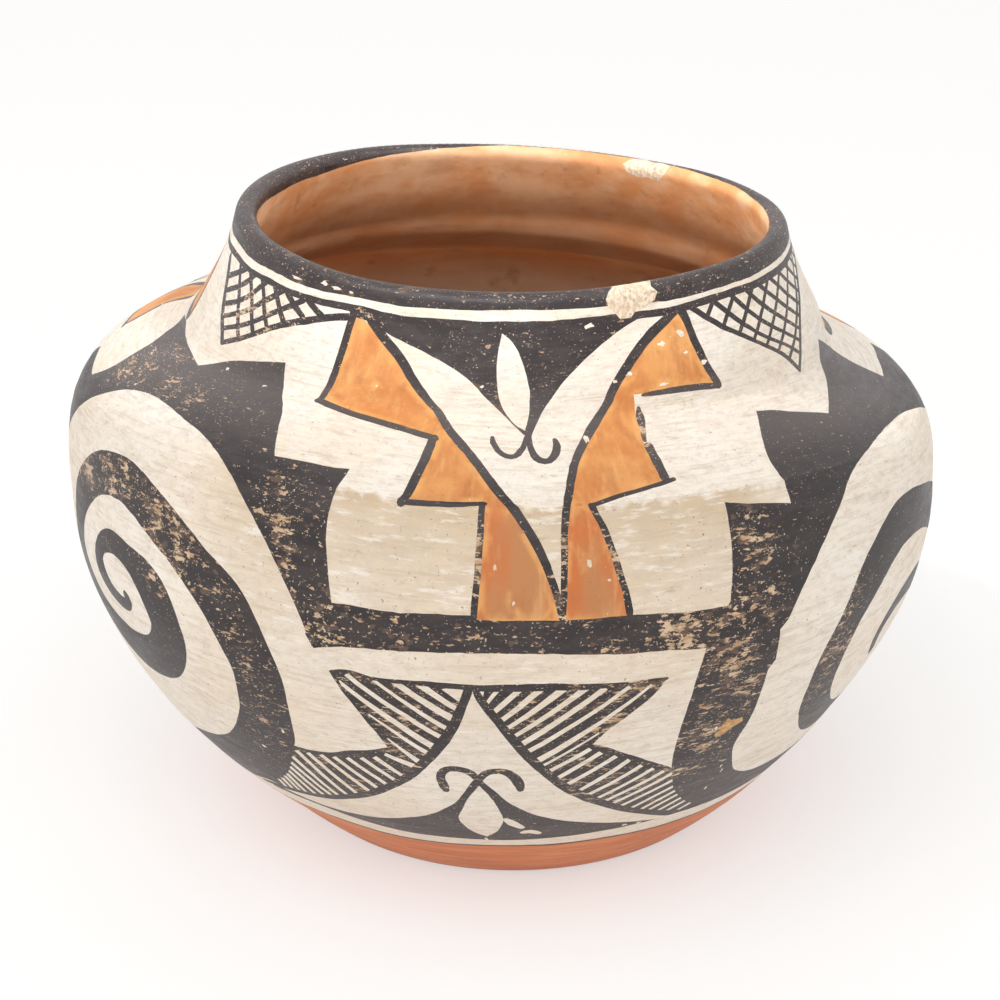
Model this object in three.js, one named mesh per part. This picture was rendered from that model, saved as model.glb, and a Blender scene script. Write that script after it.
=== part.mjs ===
// A Pueblo pottery jar: a low, wide, thin-walled vessel with a short neck, built by hand from coils of
// clay on a base that was pressed in a mould, then scraped thin, slipped, painted and fired.
// Each course of clay is its own solid, bounded by the seams at which it was joined to the next.
// Millimetres, +Z up. The origin is on the ground under the middle of the belly, and the painted front
// faces -Y. A turn of 0 is the front, and a turn of a quarter circle is the +X side.
import * as THREE from 'three';

// Outside of the jar, from the ground up
const FOOT_RADIUS = 59.5;
const BELLY_RADIUS = 110.2;
const BELLY_HEIGHT = 86.8;
const KEEL_RISE = 24.2;
const SHOULDER_SET_IN = 5.2;
const SHOULDER_RISE = 13.3;
const NECK_RADIUS = 81.5;
const NECK_RISE = 30.9;
const RIM_RADIUS = 67.5;

// How the outside curves between those heights
const LOWER_WALL_FULLNESS = 1.85;
const KEEL_FULLNESS = 4.3;
const NECK_ROOT_SLOPE = -0.5;
const NECK_LIP_SLOPE = -0.17;

// Clay
const WALL = 5.6;
const FLOOR = 8;
const FLOOR_COVE = 12;
const COVE_FULLNESS = 6;
const LIP_ROUND = 3;

// Underside: a flat ring to stand on, round a shallow hollow
const STANDING_RING = 13;
const HOLLOW_DEPTH = 2.5;

// Courses of clay
const BASE_COURSE = 21;
const RIM_COURSE = 7;
const LOWER_WALL_COILS = 4;
const SEAM_DROP = 2;

// What the hand left: no course is quite round, level or over the one below
const FOOT_DRIFT = 2.8;
const RIM_DRIFT = 2.4;
const SHOULDER_LEAN = 3.9;
const SHOULDER_LIFT = 8.9;
const SHOULDER_TUCK = 6.5;
const RIM_DIP = 3.6;
const RIM_TIP = 1.2;
const LIP_TIP = 1;
const LIP_SADDLE = 0.75;

// Fineness of the solids
const SIDES = 60;
const ROW = 6.5;
const LIP_STEPS = 6;

const SHOULDER_RADIUS = BELLY_RADIUS - SHOULDER_SET_IN;
const SHOULDER_HEIGHT = BELLY_HEIGHT + KEEL_RISE;
const NECK_HEIGHT = SHOULDER_HEIGHT + SHOULDER_RISE;
const RIM_HEIGHT = NECK_HEIGHT + NECK_RISE;

// A soft step from 0 at one height to 1 at another
function ease(from, to, height) {
  return THREE.MathUtils.smoothstep(height, from, to);
}

// A cubic that leaves one end and reaches the other at given slopes
function hermite(share, startValue, endValue, startSlope, endSlope) {
  const rest = 1 - share;
  const fromStart = (1 + 2 * share) * rest * rest * startValue + share * rest * rest * startSlope;
  const toEnd = (3 - 2 * share) * share * share * endValue - share * share * rest * endSlope;
  return fromStart + toEnd;
}

// Radius of the outside at a height on the true, undented jar
function outerRadius(height) {
  if (height <= BELLY_HEIGHT) {
    const below = (BELLY_HEIGHT - height) / BELLY_HEIGHT;
    return BELLY_RADIUS - (BELLY_RADIUS - FOOT_RADIUS) * below ** LOWER_WALL_FULLNESS;
  }
  if (height <= SHOULDER_HEIGHT) {
    const above = (height - BELLY_HEIGHT) / KEEL_RISE;
    return BELLY_RADIUS - (BELLY_RADIUS - SHOULDER_RADIUS) * above ** KEEL_FULLNESS;
  }
  if (height <= NECK_HEIGHT) {
    return THREE.MathUtils.lerp(SHOULDER_RADIUS, NECK_RADIUS, (height - SHOULDER_HEIGHT) / SHOULDER_RISE);
  }
  const share = (height - NECK_HEIGHT) / NECK_RISE;
  const startSlope = NECK_ROOT_SLOPE * NECK_RISE;
  const endSlope = NECK_LIP_SLOPE * NECK_RISE;
  return hermite(share, NECK_RADIUS, RIM_RADIUS, startSlope, endSlope);
}

// Radius of the inside: one wall in from the outside, square to it
function innerRadius(height) {
  const reach = WALL;
  const low = Math.max(height - reach, 0);
  const high = Math.min(height + reach, RIM_HEIGHT);
  const slope = (outerRadius(high) - outerRadius(low)) / (high - low);
  return outerRadius(height) - WALL * Math.hypot(1, slope);
}

// Height of the floor at a radius: flat in the middle, with a cove up to the wall
function floorHeight(radius) {
  const wallFoot = innerRadius(FLOOR + FLOOR_COVE);
  return FLOOR + FLOOR_COVE * (radius / wallFoot) ** COVE_FULLNESS;
}

// Puts a point of the true jar where the potter's hand left it. The foot and the rim sit a little off
// centre, the shoulder leans to one side, and at the front it was pushed in and up to a crease. The last
// coil is uneven, so the lip is taller at the front and the sides than at the back.
function settle(radius, height, turn) {
  const keelPart = ease(BELLY_HEIGHT - KEEL_RISE / 4, SHOULDER_HEIGHT, height);
  const shoulderPart = keelPart
    * (1 - ease(SHOULDER_HEIGHT + SHOULDER_RISE / 2, NECK_HEIGHT + NECK_RISE / 4, height));
  const frontPart = keelPart * ease(0, 1, Math.cos(turn))
    * (1 - ease(SHOULDER_HEIGHT + SHOULDER_RISE / 4, NECK_HEIGHT + NECK_RISE * 0.6, height));
  const rimPart = ease(SHOULDER_HEIGHT + SHOULDER_RISE / 2, RIM_HEIGHT, height);
  const offCentre = FOOT_DRIFT * (1 - ease(0, BELLY_HEIGHT / 2, height))
    + RIM_DRIFT * ease(SHOULDER_HEIGHT, RIM_HEIGHT, height);
  const lean = -SHOULDER_LEAN * Math.sin(turn) * shoulderPart;
  const dip = -RIM_DIP * Math.sin(turn) * (1 - Math.cos(turn)) / 2 * rimPart;
  const tip = RIM_TIP * Math.cos(turn) * rimPart;
  const lipPart = ease(RIM_HEIGHT - 2 * RIM_COURSE, RIM_HEIGHT, height);
  const lip = (LIP_TIP * Math.cos(turn) - LIP_SADDLE * Math.cos(2 * turn)) * lipPart;
  const reach = radius - SHOULDER_TUCK * frontPart;
  return [
    offCentre + reach * Math.sin(turn),
    -reach * Math.cos(turn),
    height + SHOULDER_LIFT * frontPart + lean + dip + tip + lip,
  ];
}

// Turns a section, listed up the outside and down the inside, into a closed solid.
// A section that starts and ends on the axis is closed there by a point.
function turned(section) {
  const onAxis = section[0].radius === 0;
  const rings = onAxis ? section.slice(1, -1) : section;
  const positions = rings.flatMap(({ radius, height }) =>
    Array.from({ length: SIDES }, (_, side) => settle(radius, height, side / SIDES * 2 * Math.PI)).flat());
  const faces = [];
  const corner = (ring, side) => (ring % rings.length) * SIDES + side % SIDES;
  const bands = onAxis ? rings.length - 1 : rings.length;
  for (let ring = 0; ring < bands; ring += 1) {
    const next = rings[(ring + 1) % rings.length];
    const wideFirst = rings[ring].radius > next.radius;
    for (let side = 0; side < SIDES; side += 1) {
      const [a, b] = [corner(ring, side), corner(ring, side + 1)];
      const [c, d] = [corner(ring + 1, side + 1), corner(ring + 1, side)];
      if (wideFirst) faces.push(a, b, c, a, c, d);
      else faces.push(a, b, d, b, c, d);
    }
  }
  if (onAxis) {
    const bottom = positions.length / 3;
    positions.push(...settle(0, section[0].height, 0), ...settle(0, section.at(-1).height, 0));
    for (let side = 0; side < SIDES; side += 1) {
      faces.push(bottom, corner(0, side + 1), corner(0, side));
      faces.push(bottom + 1, corner(rings.length - 1, side), corner(rings.length - 1, side + 1));
    }
  }
  const geometry = new THREE.BufferGeometry();
  geometry.setAttribute('position', new THREE.Float32BufferAttribute(positions, 3));
  geometry.setIndex(faces);
  geometry.computeVertexNormals();
  return geometry;
}

// Points of the outside, going up, or of the inside, going down, between two heights
function wallPoints(from, to, radiusAt) {
  const rows = Math.max(1, Math.round(Math.abs(to - from) / ROW));
  return Array.from({ length: rows + 1 }, (_, row) => {
    const height = THREE.MathUtils.lerp(from, to, row / rows);
    return { radius: radiusAt(height), height };
  });
}

// One coil of the wall between two seams. Each seam drops towards the inside, because a new coil is
// laid on the inner edge of the last one and pinched down over it.
function coil(from, to) {
  return turned([
    ...wallPoints(from, to, outerRadius),
    ...wallPoints(to - SEAM_DROP, from - SEAM_DROP, innerRadius),
  ]);
}

// The moulded base: hollow and standing ring underneath, the foot of the wall, and the floor
function base() {
  const ringInside = FOOT_RADIUS - STANDING_RING;
  const seamInside = innerRadius(BASE_COURSE - SEAM_DROP);
  const floorShares = [1, 0.95, 0.88, 0.75, 0.5];
  const hollowShares = [0.5, 0.8, 1];
  const hollow = hollowShares.map((share) => (
    { radius: ringInside * share, height: HOLLOW_DEPTH * (1 - share * share) }));
  const floor = floorShares.map((share) => (
    { radius: seamInside * share, height: Math.min(floorHeight(seamInside * share), BASE_COURSE - SEAM_DROP) }));
  floor[0].height = BASE_COURSE - SEAM_DROP;
  return turned([
    { radius: 0, height: HOLLOW_DEPTH },
    ...hollow,
    ...wallPoints(0, BASE_COURSE, outerRadius),
    ...floor,
    { radius: 0, height: FLOOR },
  ]);
}

// The last coil, with its round lip
function rim(from) {
  const lipFoot = RIM_HEIGHT - LIP_ROUND;
  const outside = outerRadius(lipFoot);
  const inside = innerRadius(lipFoot);
  const lip = Array.from({ length: LIP_STEPS - 1 }, (_, step) => {
    const angle = (step + 1) / LIP_STEPS * Math.PI;
    return {
      radius: (outside + inside) / 2 + (outside - inside) / 2 * Math.cos(angle),
      height: lipFoot + LIP_ROUND * Math.sin(angle),
    };
  });
  return turned([
    ...wallPoints(from, lipFoot, outerRadius),
    ...lip,
    ...wallPoints(lipFoot, from - SEAM_DROP, innerRadius),
  ]);
}

const redSlip = { color: 0xb8693f, roughness: 0.6, metalness: 0 };
const whiteSlip = { color: 0xe6dccd, roughness: 0.55, metalness: 0 };
const blackPaint = { color: 0x3a302d, roughness: 0.6, metalness: 0 };

const jar = new THREE.Group();

function addCourse(name, geometry, finish) {
  const mesh = new THREE.Mesh(geometry, new THREE.MeshStandardMaterial(finish));
  mesh.name = name;
  jar.add(mesh);
}

addCourse('moulded_base', base(), redSlip);
const lowerCoil = (BELLY_HEIGHT - BASE_COURSE) / LOWER_WALL_COILS;
for (let number = 1; number <= LOWER_WALL_COILS; number += 1) {
  const top = BASE_COURSE + number * lowerCoil;
  addCourse(`lower_wall_coil_${number}`, coil(top - lowerCoil, top), whiteSlip);
}
addCourse('keel_coil', coil(BELLY_HEIGHT, SHOULDER_HEIGHT), whiteSlip);
addCourse('shoulder_coil', coil(SHOULDER_HEIGHT, NECK_HEIGHT), whiteSlip);
addCourse('neck_coil', coil(NECK_HEIGHT, RIM_HEIGHT - RIM_COURSE), whiteSlip);
addCourse('rim_coil', rim(RIM_HEIGHT - RIM_COURSE), blackPaint);

export default jar;
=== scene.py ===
# %% [markdown]
# # A painted Pueblo pottery jar
# The real jar is one fired body of clay. The potter pressed a base in a mould, laid coils on it, scraped the
# wall thin, covered it with slip, polished it with a stone, and painted it with a yucca brush.
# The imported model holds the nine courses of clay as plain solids. Here each course gets a smooth, slightly
# uneven skin, and the painted design is cut into that skin, so that paint ends where faces end.

import math
import random

import bmesh
import bpy
import numpy as np
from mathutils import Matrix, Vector, kdtree, noise
from mathutils.geometry import delaunay_2d_cdt


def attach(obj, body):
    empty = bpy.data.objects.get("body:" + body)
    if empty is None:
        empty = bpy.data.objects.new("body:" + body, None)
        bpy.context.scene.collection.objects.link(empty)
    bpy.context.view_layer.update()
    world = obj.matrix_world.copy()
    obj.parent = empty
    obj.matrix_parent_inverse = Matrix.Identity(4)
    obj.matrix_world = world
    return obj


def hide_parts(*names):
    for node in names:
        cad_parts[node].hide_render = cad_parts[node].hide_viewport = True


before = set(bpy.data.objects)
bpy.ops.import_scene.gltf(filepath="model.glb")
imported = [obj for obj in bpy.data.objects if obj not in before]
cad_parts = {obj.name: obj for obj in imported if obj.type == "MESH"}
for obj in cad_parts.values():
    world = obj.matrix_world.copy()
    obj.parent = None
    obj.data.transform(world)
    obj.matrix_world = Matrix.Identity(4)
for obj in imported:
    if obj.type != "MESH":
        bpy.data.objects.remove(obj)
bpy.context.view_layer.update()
print("courses of clay in the packed model:", len(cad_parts))

# %% [markdown]
# ## The turned shape
# A hand-built jar is close to a turned one, so one section, turned round the axis, gives nearly all of it.
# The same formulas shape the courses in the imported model, so the skin lies on them. Lengths are millimetres.

# %% Measures of the jar
FOOT_RADIUS, BELLY_RADIUS, BELLY_HEIGHT = 59.5, 110.2, 86.8
KEEL_RISE, SHOULDER_SET_IN, SHOULDER_RISE = 24.2, 5.2, 13.3
NECK_RADIUS, NECK_RISE, RIM_RADIUS = 81.5, 30.9, 67.5
LOWER_WALL_FULLNESS, KEEL_FULLNESS = 1.85, 4.3
NECK_ROOT_SLOPE, NECK_LIP_SLOPE = -0.5, -0.17
WALL, FLOOR, FLOOR_COVE, COVE_FULLNESS, LIP_ROUND = 5.6, 8, 12, 6, 3
STANDING_RING, HOLLOW_DEPTH = 13, 2.5
BASE_COURSE, RIM_COURSE, LOWER_WALL_COILS, SEAM_DROP = 21, 7, 4, 2
FOOT_DRIFT, RIM_DRIFT, SHOULDER_LEAN = 2.8, 2.4, 3.9
SHOULDER_LIFT, SHOULDER_TUCK = 8.9, 6.5
RIM_DIP, RIM_TIP, LIP_TIP, LIP_SADDLE = 3.6, 1.2, 1, 0.75

SHOULDER_RADIUS = BELLY_RADIUS - SHOULDER_SET_IN
SHOULDER_HEIGHT = BELLY_HEIGHT + KEEL_RISE
NECK_HEIGHT = SHOULDER_HEIGHT + SHOULDER_RISE
RIM_HEIGHT = NECK_HEIGHT + NECK_RISE
LIP_FOOT = RIM_HEIGHT - LIP_ROUND
RING_INSIDE = FOOT_RADIUS - STANDING_RING
print("height of the rim:", round(RIM_HEIGHT, 1), "mm")


# %% Radius of the outside and of the inside
def outer_radius(height):
    height = np.asarray(height, float)
    below = np.clip((BELLY_HEIGHT - height) / BELLY_HEIGHT, 0, 1)
    above = np.clip((height - BELLY_HEIGHT) / KEEL_RISE, 0, 1)
    lower = BELLY_RADIUS - (BELLY_RADIUS - FOOT_RADIUS) * below**LOWER_WALL_FULLNESS
    keel = BELLY_RADIUS - SHOULDER_SET_IN * above**KEEL_FULLNESS
    slope = np.interp(height, [SHOULDER_HEIGHT, NECK_HEIGHT], [SHOULDER_RADIUS, NECK_RADIUS])
    share = np.clip((height - NECK_HEIGHT) / NECK_RISE, 0, 1)
    rest = 1 - share
    neck = (1 + 2 * share) * rest**2 * NECK_RADIUS + share * rest**2 * NECK_ROOT_SLOPE * NECK_RISE
    neck += (3 - 2 * share) * share**2 * RIM_RADIUS - share**2 * rest * NECK_LIP_SLOPE * NECK_RISE
    turned = np.where(height <= SHOULDER_HEIGHT, keel, np.where(height <= NECK_HEIGHT, slope, neck))
    return np.where(height <= BELLY_HEIGHT, lower, turned)


def inner_radius(height):
    low = np.maximum(np.asarray(height, float) - WALL, 0)
    high = np.minimum(np.asarray(height, float) + WALL, RIM_HEIGHT)
    slope = (outer_radius(high) - outer_radius(low)) / (high - low)
    return outer_radius(height) - WALL * np.hypot(1, slope)


# %% The whole section, from the middle of the underside round to the middle of the floor
FINE = 0.25


def along(start, stop):
    return np.linspace(start, stop, max(2, round(abs(stop - start) / FINE)))


under_radii = along(0, RING_INSIDE)
ring_radii = along(RING_INSIDE, FOOT_RADIUS)
outside_heights = along(0, LIP_FOOT)
lip_angles = np.linspace(0, np.pi, 40)
inside_heights = along(LIP_FOOT, FLOOR + FLOOR_COVE)
floor_radii = along(inner_radius(FLOOR + FLOOR_COVE), 0)
lip_out, lip_in = outer_radius(LIP_FOOT), inner_radius(LIP_FOOT)

section_radii = np.concatenate([
    under_radii,
    ring_radii,
    outer_radius(outside_heights),
    (lip_out + lip_in) / 2 + (lip_out - lip_in) / 2 * np.cos(lip_angles),
    inner_radius(inside_heights),
    floor_radii,
])
section_heights = np.concatenate([
    HOLLOW_DEPTH * (1 - (under_radii / RING_INSIDE) ** 2),
    ring_radii * 0,
    outside_heights,
    LIP_FOOT + LIP_ROUND * np.sin(lip_angles),
    inside_heights,
    FLOOR + FLOOR_COVE * (floor_radii / floor_radii[0]) ** COVE_FULLNESS,
])
steps = np.hypot(np.diff(section_radii), np.diff(section_heights))
way = np.concatenate([[0], np.cumsum(steps)])
foot_start = len(under_radii) + len(ring_radii)
way -= way[foot_start]
outside_way = way[foot_start : foot_start + len(outside_heights)]
inside_start = foot_start + len(outside_heights) + len(lip_angles)
inside_way = way[inside_start : inside_start + len(inside_heights)]
print("up the wall to the lip:", round(float(outside_way[-1]), 1), "mm")

# %% [markdown]
# Clay has no sharp corners, because wet fingers and a polishing stone round them off. Averaging the section
# over about a millimetre does the same, where modelling each fillet would need a radius for every corner.

# %% Round the corners of the section
ROUNDING = 1.0

WAY = np.arange(way[0], way[-1], FINE)
reach = round(4 * ROUNDING / FINE)
weights = np.exp(-0.5 * (np.arange(-reach, reach + 1) * FINE / ROUNDING) ** 2)
weights /= weights.sum()


def rounded(values, sign):
    values = np.interp(WAY, way, values)
    start, end = sign * values[reach:0:-1], sign * values[-2 : -reach - 2 : -1]
    return np.convolve(np.concatenate([start, values, end]), weights, "valid")


RADIUS = np.maximum(rounded(section_radii, -1), 0)
HEIGHT = np.maximum(rounded(section_heights, 1), 0)
RADIUS[0] = RADIUS[-1] = 0


def ease(start, stop, value):
    share = np.clip((value - start) / (stop - start), 0, 1)
    return share * share * (3 - 2 * share)


# %% [markdown]
# ## What the hand left
# The foot and the rim sit off centre, the shoulder leans, and its front was pushed in and up to a crease.
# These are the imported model's own shifts. On top of them the wall is a little lumpy from scraping, by less
# than half a millimetre, and only ever inwards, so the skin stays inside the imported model's box.

# %% Put a point of the section where the hand left it
def settle(radius, height, turn):
    keel_part = ease(BELLY_HEIGHT - KEEL_RISE / 4, SHOULDER_HEIGHT, height)
    shoulder_end = ease(SHOULDER_HEIGHT + SHOULDER_RISE / 2, NECK_HEIGHT + NECK_RISE / 4, height)
    front_end = ease(SHOULDER_HEIGHT + SHOULDER_RISE / 4, NECK_HEIGHT + NECK_RISE * 0.6, height)
    front_part = keel_part * ease(0, 1, np.cos(turn)) * (1 - front_end)
    rim_part = ease(SHOULDER_HEIGHT + SHOULDER_RISE / 2, RIM_HEIGHT, height)
    off_centre = FOOT_DRIFT * (1 - ease(0, BELLY_HEIGHT / 2, height))
    off_centre = off_centre + RIM_DRIFT * ease(SHOULDER_HEIGHT, RIM_HEIGHT, height)
    lean = -SHOULDER_LEAN * np.sin(turn) * keel_part * (1 - shoulder_end)
    dip = -RIM_DIP * np.sin(turn) * (1 - np.cos(turn)) / 2 * rim_part
    tip = RIM_TIP * np.cos(turn) * rim_part
    lip_part = ease(RIM_HEIGHT - 2 * RIM_COURSE, RIM_HEIGHT, height)
    lip = (LIP_TIP * np.cos(turn) - LIP_SADDLE * np.cos(2 * turn)) * lip_part
    reach = radius - SHOULDER_TUCK * front_part
    up = height + SHOULDER_LIFT * front_part + lean + dip + tip + lip
    return np.stack([off_centre + reach * np.sin(turn), -reach * np.cos(turn), up], -1)


def true_point(up_wall, turn):
    return settle(np.interp(up_wall, WAY, RADIUS), np.interp(up_wall, WAY, HEIGHT), turn)


# %% Lumps, the crease of the shoulder, and the way the surface faces
SHOULDER_WAY = float(np.interp(SHOULDER_HEIGHT, outside_heights, outside_way))
NECK_WAY = float(np.interp(NECK_HEIGHT, outside_heights, outside_way))
LIP_WAY = float(outside_way[-1])
INSIDE_WAY = float(inside_way[0])
LUMP = 0.22
LUMPS_START, LUMPS_STOP = (6, 22), (INSIDE_WAY + 110, INSIDE_WAY + 130)
CREASE, CREASE_WIDTH, CREASE_MIDDLE, CREASE_FADE = 0.4, 0.8, math.radians(6), (0.45, 0.8)
LUMPS = [(2, 61, 0.4, 1.0), (3, 43, 2.1, 0.9), (5, 34, 4.4, 0.8), (8, 23, 1.3, 0.6), (13, 17, 5.2, 0.45)]


def relief(up_wall, turn):
    lumps = sum(
        size * np.cos(count * turn + start) * np.cos(up_wall / length * 2 * np.pi + 3 * start)
        for count, length, start, size in LUMPS
    )
    clear_of_foot_and_floor = ease(*LUMPS_START, up_wall) * (1 - ease(*LUMPS_STOP, up_wall))
    front = ease(*CREASE_FADE, np.cos(turn - CREASE_MIDDLE))
    crease = CREASE * np.exp(-(((up_wall - SHOULDER_WAY) / CREASE_WIDTH) ** 2)) * front
    return LUMP * (lumps / 2 - 1) * clear_of_foot_and_floor + crease


SMALL_WAY, SMALL_SIZE = 0.3, 1e-9


def across(point_on, up_wall, turn, small_turn):
    """The outward cross product of a small step round the jar and one up the wall, and its size"""
    up = point_on(up_wall + SMALL_WAY, turn) - point_on(up_wall - SMALL_WAY, turn)
    round_jar = point_on(up_wall, turn + small_turn) - point_on(up_wall, turn - small_turn)
    outward = np.cross(round_jar, up)
    return outward, np.linalg.norm(outward, axis=-1, keepdims=True)


def facing(up_wall, turn):
    outward, size = across(true_point, up_wall, turn, 0.002)
    poles = np.where((up_wall > 0)[..., None], [0, 0, 1.0], [0, 0, -1.0])
    return np.where(size < SMALL_SIZE, poles, outward / np.maximum(size, SMALL_SIZE))


def surface_point(up_wall, turn):
    return true_point(up_wall, turn) + facing(up_wall, turn) * relief(up_wall, turn)[..., None]


def lumpy_facing(up_wall, turn):
    """The way the lumpy surface faces, for smooth shading over faces of any shape"""
    outward, size = across(surface_point, up_wall, turn, 0.004)
    return np.where(size < 1e-6, facing(up_wall, turn), outward / np.maximum(size, SMALL_SIZE))


# %% [markdown]
# ## Drawing on the wall
# A place on the wall is given as degrees round the jar from the front and millimetres up the wall from the
# foot. Long edges are smooth curves through a few such places, as one pull of the brush makes them, and a
# stroke is such a curve with the width of the brush along it.

# %% Brush lines, outlines and strokes
CHART = 100.0
PER_DEGREE = math.radians(CHART)
BRUSH_STEP = 1.7
FULL_TURN = 2 * math.pi * CHART


def on_chart(places):
    places = np.array(places, float)
    places[:, 0] *= PER_DEGREE
    return places


def smooth(points):
    """A smooth line through a few points; more columns, such as a width, go along with it"""
    points = np.vstack([2 * points[0] - points[1], points, 2 * points[-1] - points[-2]])
    line = []
    for a, b, c, d in zip(points, points[1:], points[2:], points[3:]):
        count = max(1, math.ceil(math.dist(b[:2], c[:2]) / BRUSH_STEP))
        t = (np.arange(count) / count)[:, None]
        line.append(b + 0.5 * t * (c - a + t * (2 * a - 5 * b + 4 * c - d + t * (3 * b - a - 3 * c + d))))
    return np.vstack([*line, points[-2:-1]])


def straight(points):
    start, stop = points
    count = max(1, math.ceil(math.dist(start, stop) / (2 * BRUSH_STEP)))
    return start + (stop - start) * np.linspace(0, 1, count + 1)[:, None]


def outline(start, *runs):
    """A closed shape. A run of one place is a straight edge, and a run of more is one smooth edge."""
    corner, edges = start, []
    for run in (*runs, [start]):
        if len(run) > 1 or run[0] != corner:
            points = on_chart([corner, *run])
            edges.append((smooth(points) if len(run) > 1 else straight(points))[:-1])
        corner = run[-1]
    return np.vstack(edges)


def stroke(places, widths):
    """A brush stroke with its width in millimetres at each place, and round ends"""
    if np.ndim(widths) == 0:
        widths = [widths] * len(places)
    line = smooth(np.column_stack([on_chart(places), widths]))
    stretch = np.interp(line[:, 1], WAY, RADIUS)[:, None] / CHART
    real_way = np.gradient(line[:, :2], axis=0) * np.hstack([stretch, stretch * 0 + 1])
    real_way /= np.linalg.norm(real_way, axis=1, keepdims=True)
    half = line[:, 2:3] / 2
    to_chart = np.hstack([1 / stretch, stretch * 0 + 1])
    aside = np.column_stack([-real_way[:, 1], real_way[:, 0]]) * half * to_chart
    ahead = real_way * half * to_chart
    bend = math.sqrt(0.5)
    last = [line[-1, :2] + ahead[-1] * k + aside[-1] * s for k, s in ((bend, bend), (1, 0), (bend, -bend))]
    first = [line[0, :2] - ahead[0] * k - aside[0] * s for k, s in ((bend, bend), (1, 0), (bend, -bend))]
    left, right = line[:, :2] + aside, line[:, :2] - aside
    return np.vstack([left, last, right[::-1], first])


# %% [markdown]
# ## The design
# One unit is painted three times round the jar: a panel of two stepped wings round a dark cleft, a band,
# a lower panel of hatched fins over an arch, and a column whose foot runs into the next great scroll.
# The potter fitted the units by eye, so no two are the same width, and each scroll was drawn afresh.

# %% Pigments, and the list of marks in the order in which they are painted
WHITE, BLACK, ORANGE, RED, CLAY, INSIDE, PEELED, POROUS = range(8)
UNITS = (0.0, -123.4, 124.9)


def mark(shape, pigment, within=None):
    return {"shape": shape, "pigment": pigment, "within": within}


def moved(marks, shift, squeeze=1.0):
    """The same marks further round the jar, drawn wider or narrower"""
    def there(shape):
        return None if shape is None else shape * [squeeze, 1] + [shift * PER_DEGREE, 0]
    return [mark(there(item["shape"]), item["pigment"], there(item["within"])) for item in marks]


# %% The cleft between the wings, with its leaf and its two hooks
def cleft():
    dark = outline(
        (-27.4, 182.2),
        [(-26.4, 181), (-23, 179.5), (-18.8, 177.8), (-15.2, 176.3), (-11.5, 174.2), (-8.4, 171.7),
         (-5.8, 168.6), (-3.7, 164.6), (-1.6, 160.4), (0.5, 156), (2.5, 151.8), (3.6, 149.4)],
        [(4.1, 149.4)],
        [(5.1, 154.2), (6.2, 159.6), (7.5, 164.4), (9.3, 169.6), (11.4, 173.3), (14, 176.3), (17.1, 178.7),
         (20.8, 181), (23.9, 182.5), (26, 183.2)],
        [(27, 184)], [(-27.4, 184)],
    )
    leaf = outline(
        (-1.9, 181.4),
        [(-2.3, 177.8), (-2.4, 174.2), (-2.1, 169.6), (-1.4, 164.2), (-0.1, 158.7), (1.6, 154.4), (3.3, 152)],
        [(3.8, 156.9), (3.8, 161.5), (3.6, 166.9), (2.8, 171.9), (1.5, 176.5), (-0.1, 179.6), (-1.9, 181.4)],
    )
    left_hook = stroke(
        [(3.4, 149.8), (3, 147), (2.4, 144.8), (1.6, 143), (0.4, 142.9), (-0.8, 144.6), (-1.6, 147.3),
         (-1.8, 149.3)],
        [1, 1.2, 1.6, 1.5, 1.5, 1.5, 1.4, 0.9],
    )
    right_hook = stroke(
        [(3.9, 149.8), (3.8, 146.8), (4.3, 143.6), (5.2, 141.8), (6.5, 141.7), (7.4, 143.8), (7.9, 146.5),
         (7.8, 148.6)],
        [1, 1.4, 1.8, 1.8, 1.8, 2, 1.9, 1.4],
    )
    return [mark(dark, BLACK), mark(leaf, WHITE), mark(left_hook, BLACK), mark(right_hook, BLACK)]


# %% The two stepped wings: orange fields first, then their dark outlines
def left_wing():
    inner_edge = [(-26.9, 181.6), (-23.5, 178.3), (-19.9, 174.6), (-17.2, 170.4), (-15.2, 166.5),
                  (-13.1, 161.9), (-11, 156.9), (-9.2, 152), (-6.8, 147), (-4.7, 142.7), (-2.7, 137.9),
                  (-0.6, 132.6), (1.5, 127.8), (3.6, 122.6), (5.1, 117.9), (6.2, 113.6), (6.7, 110.6)]
    field = outline(
        (-29.8, 182),
        [(-30.8, 177.4), (-31.4, 168.7), (-31.9, 154.4)], [(-20.4, 151), (-10.8, 147.6)],
        [(-10.7, 143), (-11.5, 134.2), (-12.3, 128.1)], [(-6.8, 128.6), (-2.4, 129.2)],
        [(-2.6, 120.5), (-3.2, 110)], [(6.6, 110)], inner_edge[-2:0:-1],
    )
    lines = [
        stroke([(-31, 182.4), (-26.6, 182)], 2),
        stroke([(-30.7, 182.6), (-31.2, 177.4), (-31.6, 168.7), (-31.9, 161.5), (-32.2, 154.4)], 1.9),
        stroke([(-32.4, 154.2), (-25.6, 151.9), (-17.8, 149.6), (-11, 147.3), (-10.4, 147)], 2.1),
        stroke([(-10.6, 147.4), (-10.9, 141.5), (-11.6, 135.1), (-12.2, 129.6), (-12.7, 127.9)], 2.1),
        stroke([(-12.9, 128), (-6.8, 128.5), (-2.2, 129.3)], 1.2),
        stroke([(-2.5, 129.2), (-2.7, 123.3), (-3, 116.9), (-3.3, 110.4)], 1.5),
        stroke(inner_edge, [2.2] * 13 + [2, 1.8, 1.6, 1.4]),
    ]
    return [mark(field, ORANGE)] + [mark(line, BLACK) for line in lines]


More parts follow.
